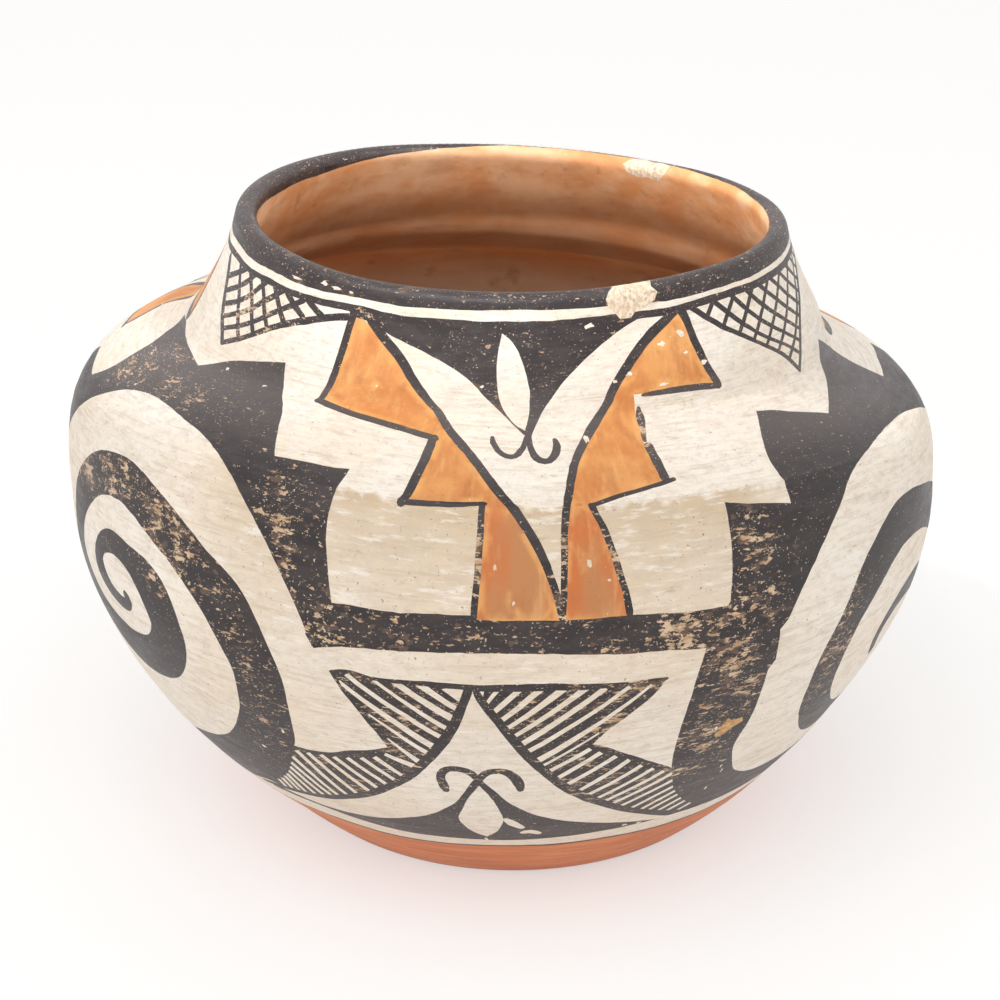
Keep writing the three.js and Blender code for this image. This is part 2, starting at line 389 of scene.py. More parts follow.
def right_wing():
    inner_edge = [(31.8, 182.9), (30.2, 181.9), (26.5, 179.2), (23.9, 176.5), (21.8, 173.7), (20.3, 170.8),
                  (19, 167.8), (17.9, 164.2), (16.9, 159.8), (15.3, 155), (13.5, 150.5), (11.9, 146.4),
                  (10.6, 142.4), (9.6, 138.2), (8.9, 134.2), (8.2, 129.5), (7.6, 124.2), (7.2, 118.7),
                  (6.9, 110.5)]
    field = outline(
        (32.4, 182.6),
        [(33.6, 180.3), (35.4, 174.2), (36.9, 167.8), (38.6, 160.6)], [(31.7, 161.6), (26.5, 162.2),
            (21.9, 162.6)],
        [(22.3, 156), (22, 148.7), (21.5, 145), (21.8, 137.8), (22, 133.6)], [(16.1, 131.6), (11, 129)],
        [(12.4, 123.3), (13.5, 117.8), (14.5, 110)], [(6.9, 110)], inner_edge[-2:0:-1],
    )
    lines = [
        stroke([(32.6, 184), (34.1, 180.3), (35.6, 173.5), (37.1, 167), (39.2, 159.9)], 2.1),
        stroke([(39.2, 159.8), (35.9, 160.6), (31.7, 161.3), (26.5, 161.7), (23.7, 161.9)], [1.6, 2.2, 2.2,
            2, 1.2]),
        stroke([(22.9, 157.6), (22.9, 154.2), (22.4, 150.5), (21.9, 146.4)], [0.9, 2.2, 1.6, 1]),
        stroke([(22.1, 144.6), (22.2, 140), (22.2, 134.6)], 2.4),
        stroke([(23.4, 133.8), (19.2, 132.5), (15, 131), (11.2, 129)], [1.1, 1, 1.1, 1.3]),
        stroke([(11.2, 129), (12.4, 124), (13.5, 118.7), (14.4, 113.7), (14.7, 110.4)], 1.6),
        stroke(inner_edge, [1.8, 2, 2.2, 2.3, 2.4, 2.4, 2.4, 2.4, 2.4, 2.3, 2.3, 2.2, 2.1, 2, 1.9, 1.8, 1.7,
                            1.6, 1.5]),
    ]
    return [mark(field, ORANGE)] + [mark(line, BLACK) for line in lines]


# %% The band below the wings
def band():
    shape = outline(
        (-22.6, 110),
        [(-20.3, 110.2), (-11, 110.4), (-3.7, 110.5), (6.5, 110.2), (14.5, 110), (21.3, 109.3),
         (27.8, 109)], [(30, 102.4)],
        [(24, 102.4)],
        [(20.3, 102.8), (16.1, 103.3), (10.9, 104), (5.7, 104.5), (0.5, 104.8), (-4.7, 104.8), (-10, 104.5),
         (-15.2, 104), (-20.4, 103.2), (-22.2, 102.5)],
        [(-23.3, 104.6)],
    )
    return [mark(shape, BLACK)]


# %% [markdown]
# The lower panel is a white arch between two thick arcs, hatched outside them, with a pair of dark crescents
# under it that rise to a point and hold a white drop. The hatched places are so dark that they are easier to
# give as what stayed white: a dark place first, and then each gap between two hatch lines, with square ends.

# %% Gaps between hatch lines
def gap(start, stop, start_wide, stop_wide):
    """A white gap, with its width in millimetres at each end"""
    line = on_chart([start, stop])
    stretch = float(np.interp(line[:, 1].mean(), WAY, RADIUS)) / CHART
    across, up = (line[1] - line[0]) * [stretch, 1]
    aside = np.array([-up / stretch, across]) / math.hypot(across, up) / 2
    one, two = line + aside * [[start_wide], [stop_wide]], line - aside * [[start_wide], [stop_wide]]
    return np.vstack([straight(one)[:-1], straight([one[1], two[1]])[:-1], straight(two[::-1])[:-1],
                      straight([two[0], one[0]])[:-1]])


def hatched(region, gaps):
    return [mark(region, BLACK)] + [mark(gap(*ends), WHITE, region) for ends in gaps]


# %% The upper fins and the skirts under them
LEFT_GAPS = [
    ((-5.5, 98.2), (-4.9, 94.2), 5.4, 0.3), ((-9.6, 98.4), (-5, 91.6), 1.7, 1.4), ((-12.6, 98.4),
        (-5.6, 88.7), 1.5, 1.9), ((-15, 98), (-6.4, 85.6), 0.8, 1.3), ((-18.3, 98.4), (-7.2, 82.8), 1.1,
            1.3), ((-19.2, 96.3), (-8.1, 79.4), 0.9, 2), ((-15.9, 88), (-8.8, 76.7), 0.5, 1.5), ((-14, 80.9),
                (-10.2, 73.2), 0.4, 1.7), ((-14.7, 75), (-11, 71.6), 1.1, 1.8),
]
LEFT_SKIRT_OUT = [(-16.2, 73.4), (-18, 72.2), (-20.1, 71), (-22.1, 70.1), (-24.1, 69.7), (-26.1, 69.2),
                  (-27.8, 68.9), (-29, 65.6), (-29.9, 62.6), (-30.7, 60), (-31.6, 57.6), (-32.5, 55.2),
                  (-33.4, 53.1), (-34.5, 51), (-35.8, 49.1)]
LEFT_SKIRT_IN = [(-12.6, 66), (-14.1, 63.9), (-15.5, 61.6), (-17.2, 59.4), (-18.7, 57.4), (-20.7, 54.4),
                 (-22.6, 52.4), (-24.3, 50.7), (-25.8, 49.9), (-27.4, 48.8), (-29.1, 47.7), (-31, 46.6),
                 (-32.4, 45.9), (-34.1, 45), (-35.8, 44.1)]
RIGHT_GAPS = [
    ((-2.3, 98.4), (-2.1, 96), 1.7, 0.2), ((-0.3, 98.2), (-1.7, 94.1), 1, 0.8), ((2.1, 98), (-0.9, 91.6),
        1.3, 1.3), ((4.4, 97.8), (-0.3, 88.6), 1.6, 1.2), ((7, 97.6), (0.5, 86.4), 1.8, 1), ((9.6, 97.4),
            (1.3, 84), 1.6, 1.1), ((11.7, 96.8), (2.1, 81.2), 1.4, 1.6), ((14.6, 96.4), (3.1, 78.9), 1, 1.4),
            ((17.3, 95.9), (3.8, 74.5), 0.7, 2), ((11.5, 83.4), (4.9, 73.1), 0.5, 0.9),
]
RIGHT_SKIRT_OUT = [(10.7, 78.2), (12.1, 76.4), (14.1, 74.4), (16, 72.3), (18, 69.5), (19.9, 67.3),
                   (21.7, 65), (23.3, 62.9), (24.4, 59.9), (25.3, 56.6), (26.2, 53.5), (27.2, 50.4),
                   (28.4, 47.4), (29.8, 44.6), (31.4, 41.6)]
RIGHT_SKIRT_IN = [(5.8, 70.8), (7, 67.9), (8.2, 64.9), (9.8, 61.5), (11.2, 59), (12.8, 56.5), (14.3, 54.6),
                  (15.3, 52.1), (17, 50.1), (18.9, 47.4), (20.8, 45.1), (22.4, 43.5), (24.3, 41.5),
                  (26, 39.6), (28.1, 37.4)]
SKIRT_GAP = (1.35, 1.25)


def left_fin():
    region = outline(
        (-3.3, 98.9), [(-10, 99), (-14.7, 98.7), (-16.3, 99), (-17.8, 99.4), (-19.2, 99.2), (-20.3, 98.4)],
        [(-19, 94.1), (-17.6, 90), (-16.2, 85), (-15.3, 82.2), (-14.1, 77.7)],
        [(-16.9, 75.6), (-19.9, 73.9), (-22.1, 71.9), (-25.1, 70.7), (-28.2, 70.9)],
        [(-28.8, 68.1), (-30, 63.4), (-31.6, 58.6), (-33.2, 54.5), (-35.5, 50.4), (-37.6, 47.5), (-41, 43.9)],
        [(-33, 45.6), (-25, 50), (-19.1, 55.9), (-13.8, 64.2), (-8.5, 77.3), (-5, 91.5), (-3.3, 98.9)],
    )
    skirt = [(out, at_arc, *SKIRT_GAP) for out, at_arc in zip(LEFT_SKIRT_OUT, LEFT_SKIRT_IN)]
    top_line = stroke(
        [(-20.1, 98.3), (-18.9, 98.8), (-17.6, 98.9), (-16, 98.5), (-14.5, 98.3), (-12, 98.3), (-10, 98.4),
         (-3.3, 98.3)],
        [0.8, 1, 0.9, 0.9, 0.8, 0.9, 1.1, 1.5])
    edge_line = stroke([(-20.1, 98.2), (-19, 94.3), (-17.6, 90.2), (-16.2, 85.4), (-15.2, 82.2),
                        (-14.2, 78.2)], 1.3)
    return hatched(region, LEFT_GAPS + skirt) + [mark(top_line, BLACK), mark(edge_line, BLACK, region)]


def right_fin():
    region = outline(
        (-3.3, 98.9), [(0, 99), (5, 98.8), (8.5, 98.3), (12, 97.7), (15, 97.4), (19.2, 97.3)],
        [(17.7, 93), (15.7, 89.4), (13.9, 86.3), (12.3, 83.4), (11.4, 81.2)], [(10.9, 79.7)],
        [(12.1, 78.8), (13.9, 76.7), (15.3, 75), (17.1, 73), (19.5, 69.9), (21.7, 67.2), (23.6, 63.9)],
        [(24.9, 59.3), (26.1, 53.8), (27.4, 49.3), (29.3, 44.3), (31.9, 39.9), (35, 34.9)],
        [(26, 38.5), (19.4, 46.2), (12.4, 56.6), (5.6, 70.7), (0.5, 84.8), (-3.3, 98.9)],
    )
    skirt = [(out, at_arc, *SKIRT_GAP) for out, at_arc in zip(RIGHT_SKIRT_OUT, RIGHT_SKIRT_IN)]
    top_line = stroke(
        [(-3.3, 98.2), (2, 98.2), (6, 98), (9, 97.6), (13, 97.2), (16, 97), (19.1, 97)],
        [1.6, 1.8, 1.7, 1.5, 1.2, 1, 0.8])
    return hatched(region, RIGHT_GAPS + skirt) + [mark(top_line, BLACK)]


# %% The arch, the crescents, the drop and the two curls
def arch():
    left_arc = stroke(
        [(-3.5, 98.2), (-3.9, 96.2), (-4.8, 91.5), (-5.7, 86.8), (-7, 82.1), (-8.5, 77.3), (-9.9, 73.1),
         (-11.7, 68.3), (-13.8, 64.1), (-16.4, 59.8), (-19.1, 55.9), (-22, 52.7), (-25, 50), (-29, 47.4),
         (-33, 45.6), (-38, 43.2), (-42, 41.2)],
        [1.2, 1.7, 2.1, 2.4, 2.6, 2.6, 2.6, 2.6, 2.5, 2.4, 2.3, 2.2, 2.1, 2, 2, 2, 2])
    right_arc = stroke(
        [(-3, 98.2), (-2.7, 96.4), (-1.9, 93.3), (-0.8, 89.5), (0.5, 84.9), (1.9, 80.3), (3.6, 75.4),
         (5.4, 70.8), (7.3, 66.2), (9.5, 61.9), (12.4, 56.6), (16.1, 50.9), (19.4, 46.4), (23.1, 42),
         (27.1, 38.2), (31.3, 35)],
        [1.2, 1.7, 2.1, 2.2, 2.3, 2.5, 2.6, 2.6, 2.6, 2.7, 2.8, 2.6, 2.4, 2.6, 2.9, 3.2])
    crescents = outline(
        (-3.2, 69),
        [(-3.9, 67.3), (-4.9, 63.4), (-6.3, 57.6), (-8.3, 53.4), (-11.3, 49.1), (-15, 45.3), (-19.7, 42.3),
         (-23.8, 41.1), (-29.8, 40.6), (-40, 43)],
        [(-42, 32)], [(38, 32)], [(38, 34)],
        [(27.7, 35.2), (24.6, 36.5), (19.5, 38.8), (14.4, 41.8), (9.9, 45.4), (5.1, 50.4), (2.6, 54.4),
         (0.4, 58.8), (-1.2, 63.2), (-3.2, 69)],
    )
    drop = outline(
        (-3.1, 65.3), [(-4.6, 59.8), (-5.4, 54.5), (-6.4, 49.8), (-6.4, 45.7), (-5.2, 40.4), (-3.1, 36.6)],
        [(-1.2, 41), (-0.1, 46.6), (0, 49.9), (-0.7, 56), (-1.9, 61), (-3.1, 65.3)])
    left_curl = stroke(
        [(-3.2, 67.6), (-3.6, 69.6), (-4.5, 71.4), (-5.8, 72), (-7, 71.5), (-7.8, 69.7), (-8, 66.9),
         (-7.7, 64), (-7.5, 62.4)],
        [1.6, 2, 2.1, 2.1, 2.2, 2.1, 2.1, 2.3, 1.6])
    right_curl = stroke(
        [(-3, 67.6), (-2.6, 69.6), (-1.7, 71.2), (-0.4, 71.5), (0.7, 70.6), (1.5, 68.5), (2, 66),
         (2.2, 63.6)],
        [1.6, 2, 2.1, 2.2, 2.4, 2.6, 2.6, 1.7])
    return [mark(left_arc, BLACK), mark(right_arc, BLACK), mark(crescents, BLACK), mark(drop, WHITE),
            mark(left_curl, BLACK), mark(right_curl, BLACK)]


# %% [markdown]
# Each great scroll is a single stroke: down the column, along the foot, up the far side, over, and in to its
# curled end. Behind it lie a white disc and a dark field with two peaks on each side.

# %% The scroll left of the front, which is also the pattern for the one at the back
def left_field():
    return [mark(outline(
        (-62.2, 152.8),
        [(-59.5, 156.3), (-55.5, 160), (-49, 163.3), (-42.3, 166)],
        [(-41.6, 160.5), (-40.3, 155), (-37, 148), (-34.3, 140.5), (-32, 133.5)], [(-20.8, 134.5)],
        [(-21.4, 128), (-21.6, 121), (-20.9, 114.5), (-20.2, 109.5)], [(-22.4, 102.7)], [(-45, 96)],
        [(-75, 96)], [(-97, 103)], [(-95.7, 109.3)], [(-94.9, 117), (-94.6, 130)], [(-82.6, 130.6)],
        [(-81, 135), (-80.5, 139), (-81.2, 147), (-84, 152), (-88.3, 158)],
        [(-83, 159), (-77, 157.2), (-69, 155)]), BLACK)]


def left_disc():
    return [mark(outline(
        (-22.4, 102.7),
        [(-23.8, 106.4), (-25.8, 110.7), (-28.1, 114.6), (-30.7, 118.4), (-33.4, 122.2), (-36.6, 126.4),
         (-40.4, 130.2), (-45.2, 133.6), (-50.8, 136.1), (-56.7, 137.9), (-62.9, 138.2), (-68.3, 136),
         (-72.4, 131.6), (-75.5, 126), (-79.5, 119), (-85, 110), (-90, 99)],
        [(-93, 70), (-86, 52), (-72, 45)], [(-50, 48)], [(-32, 62)], [(-26, 85)]), WHITE)]


LEFT_SCROLL = [
    (-95, 96, 20), (-95.8, 86, 19.5), (-95.9, 76, 18), (-95.5, 66, 16), (-93, 56.5, 15), (-88.5, 48.5, 14.5),
    (-81, 42.5, 14.5), (-71, 39.5, 14.5), (-61, 40.5, 15), (-53, 43.8, 16.5), (-46.6, 48.8, 17.5),
    (-40.9, 53.6, 17), (-36.3, 60, 16.3), (-33.2, 68, 15.4), (-31.2, 76, 14.8), (-30.4, 84, 14.3),
    (-30.4, 92, 13.9), (-31.8, 99, 13.2), (-34.8, 105, 11), (-38.8, 109.2, 8.7), (-43.5, 112.7, 8),
    (-48.5, 115.7, 7.9), (-53.5, 117.9, 7.9), (-58.5, 118.3, 8.1), (-63, 116.4, 8.6), (-66.7, 112.6, 9.3),
    (-69.3, 107.5, 10), (-70.3, 100, 10.5), (-69, 92, 11.2), (-65.4, 85.6, 11.8), (-60, 82, 12),
    (-54, 81.1, 12), (-48.9, 83.6, 12.3), (-45.6, 89, 12.6), (-44.8, 95, 12.4), (-46.4, 100.6, 10.6),
    (-49.3, 104.1, 7.4), (-53, 105.9, 4.6), (-57, 106.4, 4.2), (-60, 104.8, 4.7), (-61, 101.5, 5.5),
    (-60, 98.2, 5.5), (-57.8, 95.8, 4.6), (-55.5, 94.7, 4), (-53.7, 95, 3.6), (-52.8, 96.4, 3),
    (-53.5, 97.7, 2.2),
]


def scroll(knots):
    return [mark(stroke([knot[:2] for knot in knots], [knot[2] for knot in knots]), BLACK)]


# %% The scroll right of the front
def right_field():
    return [mark(outline(
        (59.3, 143.2),
        [(64.5, 148.2), (70, 153), (75.5, 160)], [(83.3, 155.5)], [(84.5, 149), (86.5, 142), (87.3, 138.5)],
        [(95, 137.3), (104.2, 134)], [(103.6, 126), (104, 117), (104.4, 110)], [(101, 103)], [(80, 97)],
        [(55, 97)], [(36, 100)], [(26, 103)], [(27.7, 109.3)], [(28.7, 117.2), (28.9, 122.3), (29.1, 126.4)],
        [(38.8, 123.6)], [(39.3, 130), (39.9, 136), (41.6, 141.8), (44.6, 149.7)],
        [(48.5, 148.8), (53.5, 146.2), (59.3, 143.2)]), BLACK)]


def right_disc():
    return [mark(outline(
        (35.8, 103.5),
        [(39.1, 109.3), (43.9, 116.2), (47.5, 121), (50.7, 125.1), (55.5, 128.9), (61.3, 131.4),
         (69.5, 133.1), (77.5, 131.7), (87.6, 123.6), (94.5, 115), (99, 107), (102, 99)],
        [(99, 75)], [(90, 50)], [(70, 42)], [(48, 44)], [(36, 58)], [(30, 80)], [(31, 98)]), WHITE)]


RIGHT_SCROLL = [
    (29.3, 99.5, 21), (28.2, 95, 19.9), (27.8, 88, 19.8), (27.5, 80, 19.2), (27.2, 74, 18.1), (27.2, 69, 17),
    (27.8, 64, 15.8), (29, 58, 15.2), (30.8, 52.2, 14.6), (33.2, 47.3, 14.6), (36.3, 43, 15),
    (40.5, 39.8, 15), (46, 38.3, 14.6), (54, 37.8, 14.2), (64, 39, 14), (73, 42.2, 13.8), (80, 48, 13.6),
    (85, 56.5, 13.5), (87.5, 66, 13.5), (88, 76, 13.5), (86.7, 86, 13.4), (83, 94.5, 13.2),
    (77.3, 102, 12.8), (71, 107.6, 12.2), (64.6, 110.7, 11.5), (58.6, 109.9, 11), (52.6, 104.9, 10.4),
    (47.8, 97.3, 10.2), (45.3, 88, 10.6), (44.9, 80, 10.8), (45.7, 73, 10.8), (48.2, 65.4, 10.5),
    (52.8, 58.8, 10.2), (60, 55.4, 10), (68, 57.5, 9.8), (74, 64.5, 9.4), (76, 74, 9), (74, 83.5, 8.3),
    (68.5, 89.6, 7), (62.5, 90, 5.6), (58.7, 86.6, 4.8), (57.4, 82, 4), (58.2, 77.2, 3),
]


# %% [markdown]
# Between two panels a netted pennant hangs from the line under the rim, its bars about a millimetre wide.

# %% The netted pennants
BAR = 1.2


def right_pennant():
    left_edge = [(35.5, 182.8), (42, 177.2), (49, 171.5), (56, 164.4), (62.3, 156.8)]
    right_edge = [(62.3, 156.8), (65.5, 163.5), (70, 170), (76, 175.8), (83, 180), (90, 182.6)]
    region = outline(left_edge[0], left_edge[1:], right_edge[1:], [(90, 183.6)], [(35.5, 183.6)])
    (corner_turn, corner_up), (tip_turn, tip_up) = left_edge[0], left_edge[-1]
    over, fall = tip_turn - corner_turn, tip_up - corner_up
    top, falling_bars, rising_bars, spacing = 183.3, 9, 7, 4.9
    marks = []
    for number in range(1, falling_bars + 1):
        start = corner_turn + spacing * number
        marks.append(mark(stroke([(start, top), (start + over, top + fall)], BAR), BLACK, region))
    for number in range(1, rising_bars + 1):
        share = number / (rising_bars + 1)
        start = (corner_turn + over * share, corner_up + fall * share)
        rise = 1.45 - 0.05 * number
        marks.append(mark(stroke([start, (start[0] + (top - start[1]) / rise, top)], BAR), BLACK, region))
    return marks + [mark(stroke(left_edge, 1.3), BLACK), mark(stroke(right_edge, 1.3), BLACK)]


LEFT_FALLING = [[(-67.9, 181.8), (-56.7, 167.2)], [(-62.5, 182.3), (-53, 170.2)], [(-57.4, 182.3),
    (-49.8, 172.8)],
                [(-52.6, 182.3), (-46.3, 176)], [(-48.4, 182.3), (-42, 178.5)], [(-42.6, 182.6),
                    (-37.7, 179.9)]]
LEFT_RISING = [[(-65.4, 166.2), (-56.9, 171.6), (-50.4, 176.9), (-43, 182)],
               [(-67.4, 168.9), (-59.2, 174), (-53.3, 178.9), (-49.2, 182.3)],
               [(-69.5, 171.4), (-61.3, 176.2), (-55, 182.3)], [(-72, 173.6), (-63.9, 178.6), (-59.8, 182.3)],
               [(-74.6, 175.9), (-63.8, 182.3)]]


def left_pennant():
    left_edge = [(-75.6, 180.9), (-72.4, 177.4), (-69.8, 174), (-66.6, 170.2), (-63.6, 166.7), (-61.6, 163.8)]
    right_edge = [(-61.6, 163.8), (-56.1, 167.9), (-51.8, 171.7), (-46.8, 175.4), (-41.4, 177.9),
                  (-36, 179.9), (-31, 181.2)]
    region = outline(left_edge[0], left_edge[1:], right_edge[1:], [(-31, 183.2)], [(-76, 183.2)])
    bars = [mark(stroke(line, 1.4), BLACK, region) for line in LEFT_FALLING + LEFT_RISING]
    return bars + [mark(stroke(left_edge, 1.7), BLACK), mark(stroke(right_edge, 1.6), BLACK)]


# %% [markdown]
# Old losses have shapes of their own: pale chips that took the paint with them, two dabs of white over the
# right-hand crescent, a peeled spot on the column, and two places on the rim that are down to porous clay.

# %% Chips and rubbed places
chance = random.Random(7)
CHIP_CORNERS = 9


def chip(turn, up_wall, wide, tall):
    """A small ragged loss, wide and tall in millimetres"""
    stretch = CHART / float(np.interp(up_wall, WAY, RADIUS))
    corners = []
    for number in range(CHIP_CORNERS):
        angle = number / CHIP_CORNERS * 2 * math.pi
        size = chance.uniform(0.45, 1.2) / 2
        across = wide * stretch * size * math.cos(angle)
        corners.append([turn * PER_DEGREE + across, up_wall + tall * size * math.sin(angle)])
    return mark(np.array(corners), WHITE)


CHIPS = [
    (28, 176.5, 3, 1.6), (32.2, 178.3, 2.3, 2.2), (32.7, 173.3, 1.6, 1.1), (27.5, 164.4, 2.8, 1.6),
    (36.4, 169.2, 2.3, 2), (21.3, 169.9, 1.5, 1.4), (18.7, 168.2, 1.3, 1.3), (12.8, 148.3, 1.5, 3),
    (-4.7, 168.4, 1, 1.2), (14, 182.2, 3.4, 1.2), (10.2, 118.3, 1.3, 1.1), (12.6, 115.6, 1.3, 0.7),
    (-1, 118, 0.9, 1), (1.2, 112.6, 0.8, 0.8), (-22.8, 165.6, 1.2, 1.2), (-55.6, 156.2, 1.4, 1.5),
    (-44.4, 154.6, 1.7, 1.2), (3.4, 154.4, 0.7, 1.4), (19.4, 37.2, 1.6, 1.4), (21.9, 36.5, 1.5, 1.1),
    (-3.4, 34.8, 0.9, 1.9), (31.9, 48.3, 0.9, 1.9), (31.6, 59.5, 0.6, 1.5), (32.4, 56.5, 0.6, 2),
    (-28.8, 75.5, 1, 1.3), (-33.3, 66.4, 1.2, 1.2), (27.4, 77.3, 0.8, 1.5), (-46.4, 185.9, 3.6, 0.7),
    (-38.8, 187, 2.4, 1.6), (-35.6, 186.4, 3.2, 1.1), (-32.2, 186.2, 1.3, 0.7),
]


def losses():
    marks = [chip(*place) for place in CHIPS]
    marks.append(mark(stroke([(0.5, 48.4), (1.4, 46), (2.7, 43.6)], [1.7, 2.7, 2]), WHITE))
    marks.append(mark(stroke([(2.9, 39.8), (4, 40.4), (5.3, 38.8)], [1.7, 2.6, 1.8]), WHITE))
    rim_front = [(17.3, 187.2), (17.9, 185.2), (19.2, 183.9), (20.1, 182.8), (22.4, 182.9), (23.4, 184.2),
                 (25.6, 184.7), (27.6, 185.8), (28.4, 187.6), (27.3, 189.3), (28.1, 191.6), (26.8, 194.2),
                 (25.6, 196.4), (22.8, 195.8), (20.2, 196.6), (19, 193.4), (19.6, 191), (18.3, 189.4)]
    rim_back = [(138.8, 192.6), (141.4, 191.4), (144.2, 192), (146.8, 190.9), (149.6, 192), (151.6, 194.4),
                (150.2, 197), (147, 198.4), (144.4, 197.7), (141.2, 198.2), (139.6, 195.8)]
    column_peel = [(27.6, 74), (28.8, 74.2), (30, 76), (31.4, 77), (31.1, 78.6), (29.6, 78.4), (28.8, 79.8),
                   (28.2, 77.8)]
    marks += [mark(on_chart(place), POROUS) for place in (rim_front, rim_back)]
    return marks + [mark(on_chart(column_peel), PEELED)]


# %% Lines that run right round: the red base, its dark line, the lines under the rim, and the rim
PAINTED_INSIDE = 7.8
LAST_WAY = float(np.interp(PAINTED_INSIDE - RIM_HEIGHT, -inside_heights, inside_way))


def round_line(places):
    """A line once round the jar, from straight behind it to straight behind it"""
    line = smooth(on_chart(places))
    return line[:-1]


def level(up_wall, *hollows):
    """A line that is level apart from the places given"""
    return [(-180, up_wall), *[(t, up_wall + rise) for t, rise in hollows], (180, up_wall)]


RED_TOP = level(28.7, (-150, -0.4), (-110, 0.3), (-75, 0.8), (-50, 1.2), (-32, 0.9), (-24, -0.6),
                (-17, -0.8), (-10, -0.8), (-3, -0.1), (3, 0.3), (8, 0.1), (20, 0.5), (35, 0.2), (50, 0.6),
                (80, -0.4), (120, 0.5))
BASE_LINE_TOP = [(t, u + 1) for t, u in RED_TOP]
PANEL_FOOT = level(34, (-150, -0.4), (-110, 1.2), (-75, 3.6), (-50, 5.6), (-38, 6), (-30, 4.9), (-27, 3.4),
                   (-24, 1.9), (-20, 0.6), (-14, 0), (-4, 0.1), (3, 0.2), (10, 0.7), (15, 1.4), (20, 1.9),
                   (27, 2.2), (36, 1.4), (50, 1), (80, -0.2), (120, 0.5))
TOP_LINE_FOOT = level(182, (-75, -0.4), (-50, -0.2), (-30, 0.2), (0, 0.3), (40, 0.4), (75, 0.3), (120, 0))
STRIPE_FOOT = level(183.7, (-75, -0.8), (-50, -0.6), (-35, 0), (-20, 0.1), (0, 0.2), (40, 0.3), (75, 0.3),
                    (120, 0))
STRIPE_TOP = level(185.7, (-75, -1), (-50, -0.9), (-35, -0.5), (-20, 0), (-5, 0.5), (5, 0.5), (20, 0),
                   (31, -0.4), (42, -0.7), (75, -0.3), (120, 0))
LIP_TOP = (LIP_WAY + INSIDE_WAY) / 2
RIM_END = level(LIP_TOP + 0.5, (-150, 3.5), (-120, 6.2), (-90, 5.5), (-45, 4), (0, 2.5), (45, 2.7),
                (90, 2.5), (120, 1),
                (150, 0))


def between_lines(lower, upper, pigment):
    return {"ring": (round_line(lower), round_line(upper)), "pigment": pigment}


ring_marks = [
    between_lines(BASE_LINE_TOP, PANEL_FOOT, WHITE),
    between_lines(RED_TOP, BASE_LINE_TOP, BLACK),
    between_lines(level(0), RED_TOP, RED),
    between_lines(TOP_LINE_FOOT, STRIPE_FOOT, BLACK),
    between_lines(STRIPE_FOOT, STRIPE_TOP, WHITE),
    between_lines(STRIPE_TOP, RIM_END, BLACK),
    between_lines(RIM_END, level(LAST_WAY + 5), INSIDE),
]

# %% All the marks, in the order of painting
BACK_SHIFT, BACK_SQUEEZE, BACK_PENNANT_SHIFT = 233.4, 0.8444, 236.4


def at_back(marks):
    """The marks of the left scroll once more, in the narrower space behind the jar"""
    return moved(marks, BACK_SHIFT, BACK_SQUEEZE)


marks = left_field() + at_back(left_field()) + right_field()
marks += left_disc() + at_back(left_disc()) + right_disc()
for shift in UNITS:
    marks += moved(band() + cleft() + left_wing() + right_wing(), shift)
    marks += moved(left_fin() + right_fin() + arch(), shift)
marks += scroll(LEFT_SCROLL) + at_back(scroll(LEFT_SCROLL)) + scroll(RIGHT_SCROLL)
marks += left_pennant() + moved(left_pennant(), BACK_PENNANT_SHIFT) + right_pennant()
marks += ring_marks + losses()
print("marks painted:", len(marks))

# %% [markdown]
# ## Cutting the design into the skin
# A grid of quads can't follow these lines, so the skin is triangulated round them. The wall is first laid
# flat as a ring that keeps every angle true, so that triangles that look good there are good on the jar.

# %% Lay the wall flat
FIRST_WAY = 3.0
COIL_RISE = (BELLY_HEIGHT - BASE_COURSE) / LOWER_WALL_COILS
COURSE_HEIGHTS = [BASE_COURSE + COIL_RISE * number for number in range(LOWER_WALL_COILS)]
COURSE_HEIGHTS += [BELLY_HEIGHT, SHOULDER_HEIGHT, NECK_HEIGHT, RIM_HEIGHT - RIM_COURSE]
COURSE_WAYS = [float(np.interp(h, outside_heights, outside_way)) for h in COURSE_HEIGHTS]
RING_WAYS = [FIRST_WAY, *COURSE_WAYS, LAST_WAY]
RING_SIDES = 240
# The very last digits of a flat place can differ from run to run, so they are rounded off
FLAT_DIGITS = 7

wall_way = np.arange(0, LAST_WAY + 6, FINE)
growth = 1 / np.interp(wall_way, WAY, RADIUS)
log_reach = np.concatenate([[0], np.cumsum((growth[1:] + growth[:-1]) / 2 * FINE)])


def lay_flat(points):
    """Chart places (millimetres round, millimetres up) on the flat ring"""
    out = np.exp(np.interp(points[:, 1], wall_way, log_reach))
    turn = points[:, 0] / CHART
    return np.column_stack([out * np.sin(turn), -out * np.cos(turn)]).round(FLAT_DIGITS)


def on_wall(flat):
    """Back from the flat ring to a turn in radians and millimetres up the wall"""
    out = np.linalg.norm(flat, axis=1)
    return np.arctan2(flat[:, 0], -flat[:, 1]), np.interp(np.log(out), log_reach, wall_way)


# %% No line of a brush is quite true: a drift over centimetres and a tremor over millimetres
DRIFT, DRIFT_LENGTH = 0.45, 14.0
TREMOR, TREMOR_LENGTH = 0.16, 2.6
# Without a seed this noise starts from the clock, and the lines differ from run to run
HAND_SEED = 7
noise.seed_set(HAND_SEED)


def by_hand(points):
    turn, up = points[:, 0] / CHART, points[:, 1]
    radius = np.interp(up, WAY, RADIUS)
    places = np.column_stack([radius * np.sin(turn), -radius * np.cos(turn), up])
    shifts = np.array([
        DRIFT * np.array(noise.noise_vector(Vector(p) / DRIFT_LENGTH))
        + TREMOR * np.array(noise.noise_vector(Vector(p) / TREMOR_LENGTH)) for p in places])
    keep = np.interp(up, [FIRST_WAY, 12], [0, 1])[:, None]
    return points + shifts[:, :2] * np.column_stack([CHART / radius, radius * 0 + 1]) * keep


